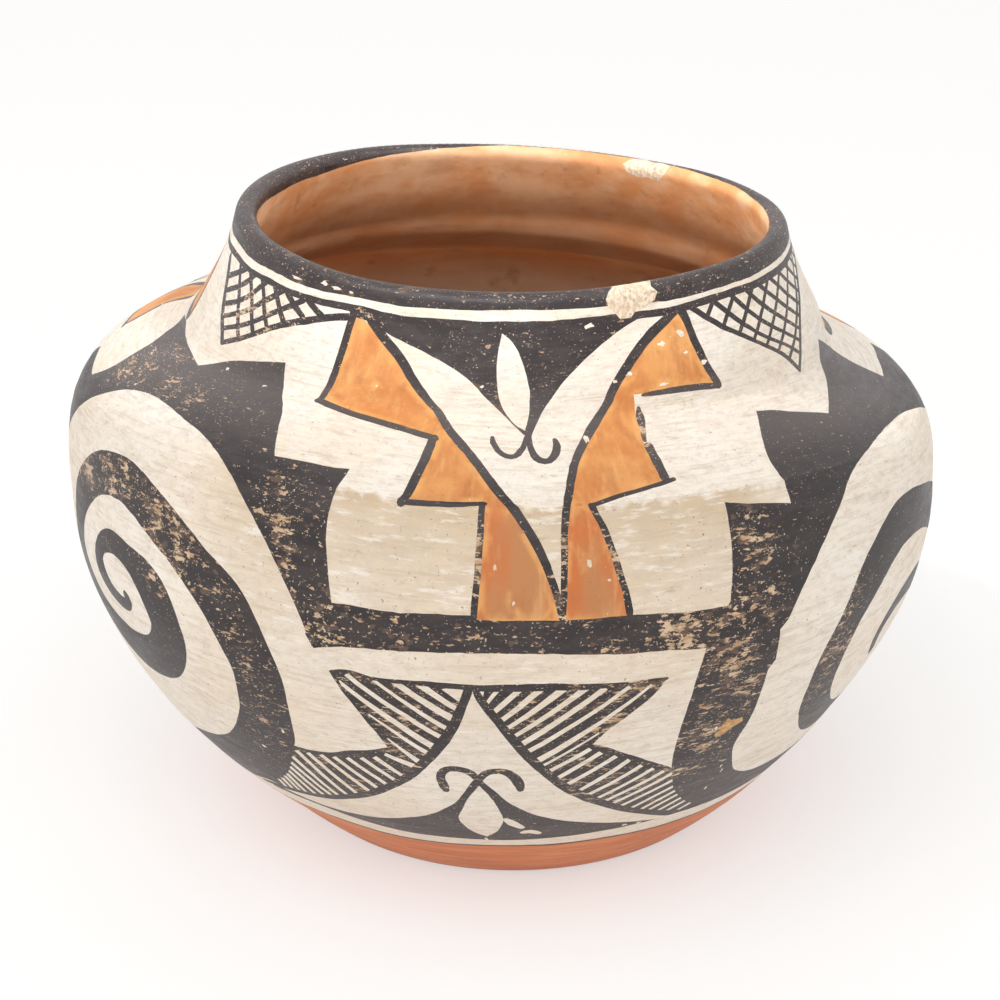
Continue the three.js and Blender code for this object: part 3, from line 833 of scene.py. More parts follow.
for item in marks:
    if "ring" in item:
        item["ring"] = tuple(by_hand(line) for line in item["ring"])
    else:
        item["shape"] = by_hand(item["shape"])
        if item["within"] is not None:
            item["within"] = by_hand(item["within"])

# %% Gather the lines that the triangles have to follow
flat_points, flat_edges, ring_of_edge = [], [], []


def add_loop(flat, ring=None):
    start, count = len(flat_points), len(flat)
    flat_points.extend(flat)
    for number in range(count):
        flat_edges.append((start + number, start + (number + 1) % count))
        ring_of_edge.append(ring)


for number, up in enumerate(RING_WAYS):
    around = np.arange(RING_SIDES) / RING_SIDES * FULL_TURN
    add_loop(lay_flat(np.column_stack([around, around * 0 + up])), number)


def whole_on_wall(line):
    return FIRST_WAY < line[:, 1].min() and line[:, 1].max() < LAST_WAY


seen_shapes = set()
for item in marks:
    if "ring" in item:
        lines = [line for line in item["ring"] if whole_on_wall(line)]
    else:
        lines = [item["shape"]]
    for line in lines:
        if line.tobytes() not in seen_shapes:
            seen_shapes.add(line.tobytes())
            add_loop(lay_flat(line))
line_count = len(flat_points)
print("points on painted lines:", line_count)

# %% Fill the rest with an even scatter of points, closer where the wall bends sharply
FACE_SIZE, SMALL_FACE, NARROWEST_COLUMN = 3.3, 0.75, 2.2
CLEAR_OF_LINES = 0.45


def search_tree(points):
    tree = kdtree.KDTree(len(points))
    for number, point in enumerate(points):
        tree.insert(Vector(point), number)
    tree.balance()
    return tree


turns, ups = on_wall(np.array(flat_points))
tree = search_tree(true_point(ups, turns))
up, odd = FIRST_WAY + 1.0, 0.0
while up < LAST_WAY - 0.5:
    nearest_bend = min(abs(up - SHOULDER_WAY), abs(up - NECK_WAY) + 1.0, max(0, LIP_WAY - up))
    row_step = min(FACE_SIZE, SMALL_FACE + 0.5 * nearest_bend)
    column_step = min(FACE_SIZE, max(NARROWEST_COLUMN, row_step * 1.5))
    count = round(2 * math.pi * float(np.interp(up, WAY, RADIUS)) / column_step)
    odd = 0.5 - odd
    row = (np.arange(count) + odd) / count * 2 * math.pi
    places = true_point(np.full(count, up), row)
    clear = [tree.find(Vector(p))[2] > CLEAR_OF_LINES * row_step for p in places]
    flat_points.extend(lay_flat(np.column_stack([row * CHART, row * 0 + up]))[clear])
    up += row_step * 0.87
print("points in all:", len(flat_points))

# %% Triangulate, then give each bead of a thin stroke a corner in its middle and triangulate again
MIDDLE_CLEAR = 0.3


def triangulate(points):
    points = [Vector(point) for point in points]
    corners, edges, faces, _, edge_sources, _ = delaunay_2d_cdt(points, flat_edges, [], 0, 1e-7)
    return np.array(corners), edges, np.array([face for face in faces if len(face) == 3]), edge_sources


def stroke_middles(corners, faces, painted_corners):
    """Middles of the triangles that touch painted lines with all three corners and have some width"""
    line_corners = np.zeros(len(corners), bool)
    line_corners[sorted(painted_corners)] = True
    thin = faces[line_corners[faces].all(axis=1)]
    turn, up = on_wall(corners)
    places = true_point(up, turn)[thin]
    sides = np.linalg.norm(places - np.roll(places, 1, axis=1), axis=2)
    area = np.linalg.norm(np.cross(places[:, 1] - places[:, 0], places[:, 2] - places[:, 0]), axis=1) / 2
    return corners[thin[area / sides.sum(axis=1) * 2 > MIDDLE_CLEAR]].mean(axis=1)


corners, edges, faces, edge_sources = triangulate(flat_points)
painted_corners = {corner for edge, sources in zip(edges, edge_sources) if sources for corner in edge}
middles = stroke_middles(corners, faces, painted_corners)
flat_points.extend(middles)
corners, edges, faces, edge_sources = triangulate(flat_points)
print("corners in the middle of strokes:", len(middles))

# %% Find which corners lie on each seam between two courses
ring_corners = [set() for _ in RING_WAYS]
for edge, sources in zip(edges, edge_sources):
    for source in sources:
        if source < len(ring_of_edge) and ring_of_edge[source] is not None:
            ring_corners[ring_of_edge[source]].update(edge)
corner_turn, corner_up = on_wall(corners)
middle = corners[faces].mean(axis=1)


def beyond_ring(points, up_wall):
    """How far flat points lie outside a ring, whose sides are chords"""
    out = math.exp(float(np.interp(up_wall, wall_way, log_reach))) * math.cos(math.pi / RING_SIDES)
    turn = np.arctan2(points[:, 0], -points[:, 1]) / (2 * math.pi) * RING_SIDES
    from_middle = (turn - np.floor(turn) - 0.5) * 2 * math.pi / RING_SIDES
    return np.linalg.norm(points, axis=1) * np.cos(from_middle) - out


course_of_face = sum((beyond_ring(middle, up) > 0).astype(int) for up in RING_WAYS) - 1
kept = (course_of_face >= 0) & (course_of_face < len(RING_WAYS) - 1)
faces, middle, course_of_face = faces[kept], middle[kept], course_of_face[kept]
print("triangles on the wall:", len(faces))

# %% Find the topmost paint on each triangle
def inside(shape, x, y):
    """Which points a closed line goes round, also where the line crosses itself"""
    rounds = np.zeros(len(x), int)
    for (a, b), (c, d) in zip(shape, np.roll(shape, -1, axis=0)):
        left = (c - a) * (y - b) - (x - a) * (d - b)
        rounds += ((b <= y) & (d > y) & (left > 0)).astype(int)
        rounds -= ((b > y) & (d <= y) & (left < 0)).astype(int)
    return rounds != 0


middle_turn, middle_up = on_wall(middle)
middle_round = middle_turn * CHART
pigment = np.full(len(faces), WHITE)
for item in marks:
    if "ring" in item:
        lower, upper = (
            np.interp(middle_round, line[:, 0], line[:, 1], period=FULL_TURN) for line in item["ring"])
        pigment[(middle_up >= lower) & (middle_up < upper)] = item["pigment"]
        continue
    shape = item["shape"]
    centre = shape[:, 0].mean()
    x = middle_round + FULL_TURN * np.round((centre - middle_round) / FULL_TURN)
    low, high = shape.min(axis=0), shape.max(axis=0)
    near = np.flatnonzero((x >= low[0]) & (x <= high[0]) & (middle_up >= low[1]) & (middle_up <= high[1]))
    near = near[inside(shape, x[near], middle_up[near])]
    if item["within"] is not None:
        near = near[inside(item["within"], x[near], middle_up[near])]
    pigment[near] = item["pigment"]
print("triangles of each pigment:", np.bincount(pigment).tolist())

# %% [markdown]
# ## Where the paint is thin or worn
# Three values go with each corner of the skin. One is how far it lies inside its field of paint, since paint
# thins out over its last half millimetre. One is how worn it is, and one how stained the slip is, with
# painted shade added under the front of the shoulder's crease.

# %% How far each corner is from an edge of paint
EDGE_REACH = 3.0
corner_points = surface_point(corner_up, corner_turn)
sides = np.vstack([faces[:, [0, 1]], faces[:, [1, 2]], faces[:, [2, 0]]])
sides.sort(axis=1)
side_key = sides[:, 0].astype(np.int64) * len(corners) + sides[:, 1]
side_pigment = np.tile(pigment, 3)
order = np.argsort(side_key, kind="stable")
same = side_key[order][1:] == side_key[order][:-1]
differ = side_pigment[order][1:] != side_pigment[order][:-1]
paint_edges = sides[order[1:][same & differ]]
edge_corners = np.unique(paint_edges)
tree = search_tree(corner_points[edge_corners])
edge_near = np.array([min(EDGE_REACH, tree.find(Vector(p))[2]) for p in corner_points])
print("corners on edges of paint:", len(edge_corners))

# %% Worn and stained places: turn, millimetres up, half widths in degrees and millimetres, and how much
WORN = [
    (-17, 107, 5, 5, 0.8), (-4, 107, 7, 3, 0.2), (8, 107, 6, 4, 0.35), (21, 106.5, 7, 4.5, 0.8),
    (-29.3, 182.3, 2, 1, 0.9), (-25, 114, 4, 8, 0.75), (-29, 124, 4, 5, 0.5), (-74, 142, 8, 5, 0.8),
    (-56, 143, 9, 4, 0.75), (-70, 152, 5, 3, 0.5), (-63, 117, 12, 4, 0.8), (-44, 111, 6, 6, 1),
    (-33, 100, 4, 7, 0.4), (-31, 82, 4, 13, 0.25), (27.5, 95, 5, 9, 0.85), (27, 73, 4.5, 11, 0.85),
    (32, 114, 4, 9, 0.45), (46, 84, 4, 20, 0.5), (-12, 91, 6, 8, 0.5), (9, 91, 8, 7, 0.5),
    (-19, 97, 2.5, 2.5, 0.5), (17, 96, 2.5, 2.5, 0.5), (13, 84, 2.5, 3.5, 0.5), (8, 77, 3, 2.5, 0.5),
    (-12, 77, 2.5, 2.5, 0.4), (-14.5, 79, 2, 2.5, 0.4), (-24, 61, 9, 9, 0.35), (17, 60, 9, 9, 0.35),
    (13, 74, 4, 4, 0.5), (-10, 66, 5, 8, 0.3), (8, 64, 5, 8, 0.3), (-3, 70.5, 6, 3, 0.3),
    (-55, 174, 15, 7, 0.45), (62, 172, 15, 7, 0.15), (-2.9, 119, 1.3, 8, 0.6), (7, 120, 1.3, 9, 0.5),
    (13, 119, 1.8, 8, 0.7), (3, 170, 12, 9, 0.12), (22.3, 150, 1.4, 8, 0.5), (180, 112, 14, 6, 0.8),
    (150, 84, 7, 16, 0.7), (110, 106, 14, 5, 0.7), (-120, 107, 18, 4, 0.8),
]
STAINED = [(-60, 128, 30, 6, 0.2), (-30, 45, 30, 12, 0.2), (-70, 60, 40, 30, 0.1), (180, 120, 60, 10, 0.3),
           (-3, 88, 9, 14, 0.15), (22.5, 190, 6, 7, 0.7), (145, 195, 8, 6, 0.7)]
CREASE_SHADE, CREASE_SHADE_FADE = 1.05, 24.0


def patches(places, turn, up):
    total = np.zeros(len(turn))
    for at, height, wide, tall, much in places:
        away = (np.degrees(turn) - at + 180) % 360 - 180
        total = total + much * np.exp(-((away / wide) ** 2) - ((up - height) / tall) ** 2)
    return total


lip_worn = 0.1 * np.exp(-(((corner_up - (LIP_WAY + INSIDE_WAY) / 2) / 6) ** 2))
corner_worn = np.minimum(patches(WORN, corner_turn, corner_up) + lip_worn, 1.2)
# Painted shade: below the crease at the front the slip is darkened, on top of its real stains
below_crease = np.where(corner_up < SHOULDER_WAY, np.exp((corner_up - SHOULDER_WAY) / CREASE_SHADE_FADE), 0)
at_front = ease(0.72, 0.88, np.cos(corner_turn))
corner_stain_and_shade = patches(STAINED, corner_turn, corner_up) + CREASE_SHADE * below_crease * at_front

# %% [markdown]
# ## The nine courses
# Each course is a closed solid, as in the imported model: its part of the painted wall, its part of the inside,
# and the seams where the next coil was joined. The wall's corners sit where the paint put them, so a seam is
# zipped from one ring of corners to the other, always taking the nearer next corner.

# %% Helpers for one course
INSIDE_SIDES, INSIDE_ROW = 180, 3.4


class Course:
    """Corners of one solid, each with its turn and its way round the section, and its faces"""

    def __init__(self):
        self.turn, self.up, self.faces, self.pigment, self.flat, self.strip = [], [], [], [], [], []
        self.near, self.worn, self.stain_and_shade = [], [], []

    def corner(self, turn, up, near=EDGE_REACH, worn=0.0, stain_and_shade=0.0):
        for column, value in zip(
            (self.turn, self.up, self.near, self.worn, self.stain_and_shade), (turn, up, near, worn, stain_and_shade)):
            column.append(value)
        return len(self.turn) - 1

    def face(self, corners, pigment, strip, flat=False):
        self.faces.append(corners)
        self.pigment.append(pigment)
        self.strip.append(strip)
        self.flat.append(flat)

    def ring(self, up):
        return [self.corner(side / INSIDE_SIDES * 2 * math.pi - math.pi, up) for side in range(INSIDE_SIDES)]

    def rows(self, first, stop, pigment, strip, first_ring=None, last_ring=None):
        """Plain rings of quads from one way round the section to another"""
        count = max(1, round(abs(stop - first) / INSIDE_ROW))
        rings = [first_ring or self.ring(first)]
        rings += [self.ring(first + (stop - first) * n / count) for n in range(1, count)]
        rings.append(last_ring or self.ring(stop))
        for one, two in zip(rings, rings[1:]):
            if len(one) == len(two) == INSIDE_SIDES and one is not first_ring and two is not last_ring:
                for side in range(INSIDE_SIDES):
                    after = (side + 1) % INSIDE_SIDES
                    self.face((one[side], one[after], two[after], two[side]), pigment, strip)
            else:
                self.zip(one, two, pigment, strip)
        return rings[0], rings[-1]

    def zip(self, one, two, pigment, strip, flat=False):
        """Joins two rings of corners with any number of corners each"""
        one = sorted(one, key=lambda c: self.turn[c])
        two = sorted(two, key=lambda c: self.turn[c])
        i = j = 0
        while i < len(one) or j < len(two):
            next_one = self.turn[one[i + 1]] if i + 1 < len(one) else self.turn[one[0]] + 2 * math.pi
            next_two = self.turn[two[j + 1]] if j + 1 < len(two) else self.turn[two[0]] + 2 * math.pi
            a, b = one[i % len(one)], two[j % len(two)]
            if j >= len(two) or (i < len(one) and next_one <= next_two):
                self.face((a, one[(i + 1) % len(one)], b), pigment, strip, flat)
                i += 1
            else:
                self.face((a, two[(j + 1) % len(two)], b), pigment, strip, flat)
                j += 1

    def cap(self, up, ring, pigment, strip):
        centre = self.corner(0.0, up)
        for side in range(len(ring)):
            self.face((ring[side], ring[(side + 1) % len(ring)], centre), pigment, strip)


def painted_wall(course, number):
    """Adds one course's part of the painted wall, and returns its lowest and highest rings of corners"""
    mine = np.flatnonzero(course_of_face == number)
    used, compact = np.unique(faces[mine], return_inverse=True)
    compact = compact.reshape(-1, 3)
    for old in used:
        course.corner(corner_turn[old], corner_up[old], edge_near[old], corner_worn[old], corner_stain_and_shade[old])
    for triangle, colour in zip(compact.tolist(), pigment[mine].tolist()):
        course.face(tuple(triangle), colour, "wall")
    place = {int(old): new for new, old in enumerate(used)}
    return ([place[c] for c in ring_corners[number] if c in place],
            [place[c] for c in ring_corners[number + 1] if c in place])


print("helpers ready for", len(RING_WAYS) - 1, "courses")

# %% [markdown]
# ## Materials
# Every finish here is clay. White slip is fine kaolin clay, rubbed with a stone until it has a soft sheen.
# The black is iron and boiled plant juice, which sinks in and dries matte. The orange and the red are
# iron-rich clay slips. The core is plain fired clay. All reflect like unglazed ceramic, with an index of 1.5.

# %% Colours and the node helper
def linear(colour):
    """The linear values that Blender wants for a colour written as sRGB hex"""
    channels = [int(colour[place : place + 2], 16) / 255 for place in (1, 3, 5)]
    return (*[c / 12.92 if c <= 0.04045 else ((c + 0.055) / 1.055) ** 2.4 for c in channels], 1.0)


def add(nodes, kind, inputs=None, **settings):
    """Adds one node with its settings, and fills or links its inputs"""
    node = nodes.new(kind)
    for name, value in settings.items():
        setattr(node, name, value)
    for key, value in (inputs or {}).items():
        if isinstance(value, bpy.types.NodeSocket):
            nodes.id_data.links.new(value, node.inputs[key])
        else:
            node.inputs[key].default_value = value
    return node


MIX_SHARE, MIX_FIRST, MIX_SECOND, MIX_RESULT = 0, 6, 7, 2


def new_material(name):
    material = bpy.data.materials.new(name)
    material.use_nodes = True
    material.node_tree.nodes.clear()
    return material, material.node_tree.nodes


# %% [markdown]
# The nodes read a place on the wall as millimetres round and up it, so that brush and polishing marks follow
# the wall over the shoulder. Noise that is squeezed upwards gives the level streaks of a polishing stone.
# Noise settings are the sizes round and up in millimetres, the detail, the roughness and a place to start.

# %% Helpers for noise and colour
def wall_place(nodes):
    return add(nodes, "ShaderNodeAttribute", attribute_name="wall_place").outputs["Vector"]


def height_up(nodes):
    """Millimetres up the wall, over the lip and on down the inside"""
    return add(nodes, "ShaderNodeSeparateXYZ", {"Vector": wall_place(nodes)}).outputs["Z"]


def corner_value(nodes, name):
    return add(nodes, "ShaderNodeAttribute", attribute_name=name).outputs["Fac"]


def streaked(nodes, round_size, up_size, detail, rough, start):
    scale = (1 / round_size, 1 / round_size, 1 / up_size)
    squeezed = add(nodes, "ShaderNodeMapping", {"Vector": wall_place(nodes), "Scale": scale,
        "Location": start})
    return add(nodes, "ShaderNodeTexNoise", {
        "Vector": squeezed.outputs[0], "Scale": 1.0, "Detail": detail, "Roughness": rough}).outputs["Fac"]


def between(nodes, value, low, high):
    """0 below one value, 1 above another, and a soft step between"""
    return add(nodes, "ShaderNodeMapRange", {0: value, 1: low, 2: high},
        interpolation_type="SMOOTHSTEP").outputs[0]


def ranged(nodes, value, to_low, to_high, low=0.0, high=1.0):
    """A straight step from one range to another"""
    return add(nodes, "ShaderNodeMapRange", {0: value, 1: low, 2: high, 3: to_low, 4: to_high}).outputs[0]


def calculated(nodes, operation, *values):
    return add(nodes, "ShaderNodeMath", dict(enumerate(values)), operation=operation).outputs[0]


def scaled(nodes, value, amount):
    return calculated(nodes, "MULTIPLY", value, amount)


def blended(nodes, share, first, second):
    mix = add(nodes, "ShaderNodeMix", {MIX_SHARE: share, MIX_FIRST: first, MIX_SECOND: second},
        data_type="RGBA")
    return mix.outputs[MIX_RESULT]


def layered(nodes, colour, layers):
    """Lays colours one over another, each by a share where its own noise passes a soft step"""
    for share, over, low, high, *noise_settings in layers:
        there = between(nodes, streaked(nodes, *noise_settings), low, high)
        colour = blended(nodes, scaled(nodes, there, share), colour, linear(over))
    return colour


def slip_height(nodes):
    """The stone's shallow grooves, and pits where grit was dragged out"""
    grooves = streaked(nodes, 14, 0.7, 4, 0.6, (5, 5, 0))
    dents = streaked(nodes, 5, 4, 3, 0.5, (2, 7, 1))
    both = calculated(nodes, "ADD", scaled(nodes, grooves, 0.5), dents)
    pits = between(nodes, streaked(nodes, 1.0, 0.8, 2, 0.5, (9, 4, 4)), 0.68, 0.78)
    return calculated(nodes, "SUBTRACT", both, scaled(nodes, pits, 0.8))


def finish_surface(nodes, colour, roughness, height, depth):
    """Unglazed ceramic: index 1.5, no metal, and small relief in millimetres"""
    bump = add(nodes, "ShaderNodeBump", {"Height": height, "Distance": depth * 0.001, "Strength": 1.0})
    shader = add(nodes, "ShaderNodeBsdfPrincipled", {
        "Base Color": colour, "Roughness": roughness, "IOR": 1.5, "Normal": bump.outputs[0]})
    add(nodes, "ShaderNodeOutputMaterial", {"Surface": shader.outputs[0]})


# %% The white slip: chalky, warmer in broad clouds, with level streaks, grey-brown specks and pits, and painted shade under the front of the crease
def white_slip():
    material, nodes = new_material("stone_polished_white_slip")
    colour = layered(nodes, linear("#F8EFE2"), [(0.7, "#F3E2CB", 0.38, 0.68, 42, 30, 3, 0.55, (3, 1, 7))])
    uneven = ranged(nodes, streaked(nodes, 14, 4, 4, 0.6, (1, 9, 2)), 0.7, 1.0, 0.3, 0.7)
    # The stain colour lays real stains and also painted shade under the front of the shoulder's crease
    stain_and_shade_share = calculated(nodes, "MULTIPLY", corner_value(nodes, "stain_and_shade"), uneven)
    colour = blended(nodes, stain_and_shade_share, colour, linear("#CDB38E"))
    colour = layered(nodes, colour, [
        (0.38, "#CDBBAB", 0.44, 0.64, 4, 1.8, 5, 0.75, (7, 2, 2)),
        (0.42, "#C6B196", 0.48, 0.70, 18, 0.9, 5, 0.68, (5, 5, 0)),
        (0.6, "#FAF4EB", 0.52, 0.68, 7, 1.1, 5, 0.68, (8, 8, 5)),
        (0.5, "#AE977D", 0.58, 0.72, 3.2, 0.8, 5, 0.7, (0, 2, 8)),
        (0.5, "#A98A6C", 0.68, 0.76, 2.4, 1.6, 4, 0.6, (4, 1, 4)),
        (0.7, "#6E5E50", 0.69, 0.75, 0.7, 0.6, 2, 0.5, (6, 0, 3)),
    ])
    sheen = ranged(nodes, streaked(nodes, 10, 2, 3, 0.5, (1, 1, 1)), 0.42, 0.62)
    finish_surface(nodes, colour, sheen, slip_height(nodes), 0.16)
    return material


# %% [markdown]
# The paint flaked where hands and water wore it. The share of bare places goes up with the square root of the
# wear, so a little rubbing already shows, and heavy rubbing leaves about half of the paint.

# %% The black mineral paint, with a painted sheen on the shoulder
SPARSE, WEAR_REACH, FLAKE_EDGE = 0.695, 0.185, 0.02


def wear_in_clusters(nodes):
    root = calculated(nodes, "POWER", corner_value(nodes, "worn"), 0.5)
    clusters = ranged(nodes, streaked(nodes, 9, 5, 3, 0.5, (5, 2, 9)), 0.35, 1.25, 0.35, 0.62)
    return calculated(nodes, "MULTIPLY", root, clusters)


def flaked(nodes, wear, reach, limit, *noise_settings):
    """1 where paint is gone: the noise passes a limit that wear lowers"""
    raised = calculated(nodes, "MULTIPLY_ADD", wear, reach, streaked(nodes, *noise_settings))
    return between(nodes, raised, limit - FLAKE_EDGE, limit + FLAKE_EDGE)


def black_paint():
    material, nodes = new_material("matte_black_mineral_paint")
    brushing = between(nodes, streaked(nodes, 9, 2.2, 4, 0.6, (4, 8, 1)), 0.35, 0.7)
    colour = blended(nodes, brushing, linear("#281F20"), linear("#3D3433"))
    # Painted sheen: the black is greyed between the crease and the wings, where the shoulder faces up to the
    # light
    above_crease = between(nodes, height_up(nodes), 128, 146)
    below_wings = between(nodes, height_up(nodes), 172, 158)
    painted_sheen = scaled(nodes, calculated(nodes, "MULTIPLY", above_crease, below_wings), 0.22)
    colour = blended(nodes, painted_sheen, colour, linear("#8E8480"))
    ragged = scaled(nodes, streaked(nodes, 2.2, 1.4, 3, 0.6, (8, 3, 3)), -0.5)
    frayed = calculated(nodes, "ADD", corner_value(nodes, "inside_edge"), ragged)
    thin = between(nodes, frayed, -0.14, -0.36)
    colour = blended(nodes, scaled(nodes, thin, 0.7), colour, linear("#8A5E40"))
    wear = wear_in_clusters(nodes)
    bare = between(nodes, streaked(nodes, 5, 2, 4, 0.6, (2, 2, 6)), 0.38, 0.62)
    bare = blended(nodes, bare, linear("#B48F6C"), linear("#DABD9C"))
    for share, under, reach, limit, *noise_settings in [
        (0.35, linear("#8C6E58"), WEAR_REACH, SPARSE - 0.01, 4, 1.8, 4, 0.6, (3, 3, 1)),
        (1, bare, WEAR_REACH, SPARSE, 3, 1, 5, 0.64, (7, 7, 2)),
        (0.8, linear("#D2B394"), WEAR_REACH * 0.6, SPARSE + 0.02, 1.8, 0.45, 3, 0.6, (1, 5, 7)),
        (0.85, linear("#DCC6AA"), WEAR_REACH * 0.4, SPARSE + 0.02, 0.6, 0.45, 2, 0.5, (3, 6, 9)),
    ]:
        gone = flaked(nodes, wear, reach, limit, *noise_settings)
        colour = blended(nodes, scaled(nodes, gone, share), colour, under)
    nicks = [(1, "#EEE2D2", 0.74, 0.76, 1.3, 0.9, 3, 0.6, (9, 2, 5))]
    dull = ranged(nodes, brushing, 0.38, 0.52)
    finish_surface(nodes, layered(nodes, colour, nicks), dull, slip_height(nodes), 0.14)
    return material


# %% The orange clay paint of the wings, redder at their feet and lighter where it lies thick at the edge
def orange_paint():
    material, nodes = new_material("brushed_orange_clay_paint")
    colour = layered(nodes, linear("#D48645"), [(1, "#E49F5C", 0.36, 0.64, 12, 12, 4, 0.6, (8, 1, 3))])
    foot = layered(nodes, linear("#CB7038"), [(1, "#BE8050", 0.4, 0.6, 9, 30, 2, 0.5, (6, 0, 4))])
    low_down = between(nodes, height_up(nodes), 133, 124)
    colour = blended(nodes, scaled(nodes, low_down, 0.9), colour, foot)
    colour = layered(nodes, colour, [
        (0.4, "#F0BC80", 0.48, 0.75, 2.4, 9, 4, 0.6, (2, 4, 6)),
        (0.4, "#B26535", 0.52, 0.72, 5, 9, 4, 0.6, (1, 8, 8)),
    ])
    near_edge = scaled(nodes, between(nodes, corner_value(nodes, "inside_edge"), 1.8, 0.4), 0.6)
    uneven = between(nodes, streaked(nodes, 6, 6, 3, 0.6, (4, 4, 4)), 0.4, 0.6)
    colour = blended(nodes, calculated(nodes, "MULTIPLY", near_edge, uneven), colour, linear("#F0B56C"))
    colour = layered(nodes, colour, [(1, "#F2E2CC", 0.72, 0.75, 1.3, 1.0, 3, 0.6, (5, 6, 2))])
    dull = ranged(nodes, streaked(nodes, 2.4, 9, 4, 0.6, (2, 4, 6)), 0.5, 0.66)
    finish_surface(nodes, colour, dull, slip_height(nodes), 0.14)
    return material


# %% The red slip of the base
def red_slip():
    material, nodes = new_material("rubbed_red_clay_slip")
    colour = layered(nodes, linear("#CF7036"), [
        (1, "#DF8E58", 0.36, 0.66, 26, 1.6, 4, 0.6, (2, 2, 2)),
        (0.5, "#B86236", 0.5, 0.7, 30, 5, 3, 0.5, (7, 1, 5)),
    ])
    gone = flaked(nodes, wear_in_clusters(nodes), WEAR_REACH, SPARSE, 2, 1, 4, 0.65, (3, 3, 9))
    colour = blended(nodes, gone, colour, linear("#E4BC96"))
    dull = ranged(nodes, streaked(nodes, 26, 1.6, 4, 0.6, (2, 2, 2)), 0.45, 0.62)
    finish_surface(nodes, colour, dull, slip_height(nodes), 0.14)
    return material


# %% The scraped clay of the inside, with painted shade in a band at the waist, and greyer towards the floor
def scraped_clay():
    material, nodes = new_material("scraped_fired_clay")
    colour = layered(nodes, linear("#DC9860"), [
        (1, "#EABC92", 0.36, 0.66, 26, 14, 4, 0.6, (1, 3, 5)),
        (0.4, "#B87240", 0.46, 0.7, 20, 7, 4, 0.6, (4, 4, 1)),
    ])
    # Painted shade: the band at the waist of the inside, where the neck turns out into the shoulder, is
    # darkened
    above_waist = between(nodes, height_up(nodes), INSIDE_WAY + 8, INSIDE_WAY + 24)
    below_waist = between(nodes, height_up(nodes), INSIDE_WAY + 58, INSIDE_WAY + 42)
    waist_shade = calculated(nodes, "MULTIPLY", above_waist, below_waist)
    low = between(nodes, height_up(nodes), INSIDE_WAY + 42, INSIDE_WAY + 58)
    deep_down = between(nodes, height_up(nodes), INSIDE_WAY + 55, INSIDE_WAY + 80)
    for place, share, over in ((waist_shade, 0.7, "#84502C"), (low, 0.5, "#B06A3A"), (deep_down, 0.85, "#C2AE9A")):
        colour = blended(nodes, scaled(nodes, place, share), colour, linear(over))
    colour = layered(nodes, colour, [(0.35, "#85543A", 0.6, 0.75, 8, 6, 3, 0.6, (6, 9, 1))])
    finish_surface(nodes, colour, 0.75, streaked(nodes, 16, 5, 3, 0.5, (9, 1, 7)), 0.25)
    return material


# %% Bare clay: the core in the seams, the peeled spot and the porous places on the rim
def gritty_clay(name, light, dark, roughness, low, high, *noise_settings):
    material, nodes = new_material(name)
    grit = between(nodes, streaked(nodes, *noise_settings), low, high)
    finish_surface(nodes, blended(nodes, grit, linear(light), linear(dark)), roughness, grit, 0.2)
    return material


def porous_slip():
    material, nodes = new_material("porous_cream_clay")
    grit = between(nodes, streaked(nodes, 1.4, 1.1, 4, 0.65, (3, 2, 3)), 0.4, 0.62)
    colour = blended(nodes, grit, linear("#EBDAC5"), linear("#D3BA9C"))
    pores = between(nodes, streaked(nodes, 0.9, 0.7, 3, 0.6, (2, 5, 1)), 0.62, 0.7)
    colour = blended(nodes, scaled(nodes, pores, 0.75), colour, linear("#8F6E50"))
    finish_surface(nodes, colour, 0.8, scaled(nodes, pores, -1), 0.25)
    return material


MATERIALS = [
    white_slip(),
    black_paint(),
    orange_paint(),
    red_slip(),
    gritty_clay("fired_clay_core", "#B98F6B", "#8F7461", 0.85, 0.45, 0.7, 1.2, 1.2, 3, 0.6, (1, 2, 3)),
    scraped_clay(),
    gritty_clay("bare_tan_clay", "#DDB07C", "#C08E60", 0.7, 0.4, 0.65, 2.2, 1.2, 4, 0.6, (1, 2, 3)),
    porous_slip(),
]
print("materials:", [material.name for material in MATERIALS])

# %% [markdown]
# ## Building the courses
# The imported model's course is hidden and this one stands for it. Corners also keep a flat map for texture
# baking: each band of faces is cut into equal lengths that are stacked into a square page.

# %% A flat map for baking
TALLEST_STRIP, SEAM_STRIP, STRIP_GAP, PAGE_MARGIN, MOST_PIECES = 60, 8, 1.5, 5.0, 8


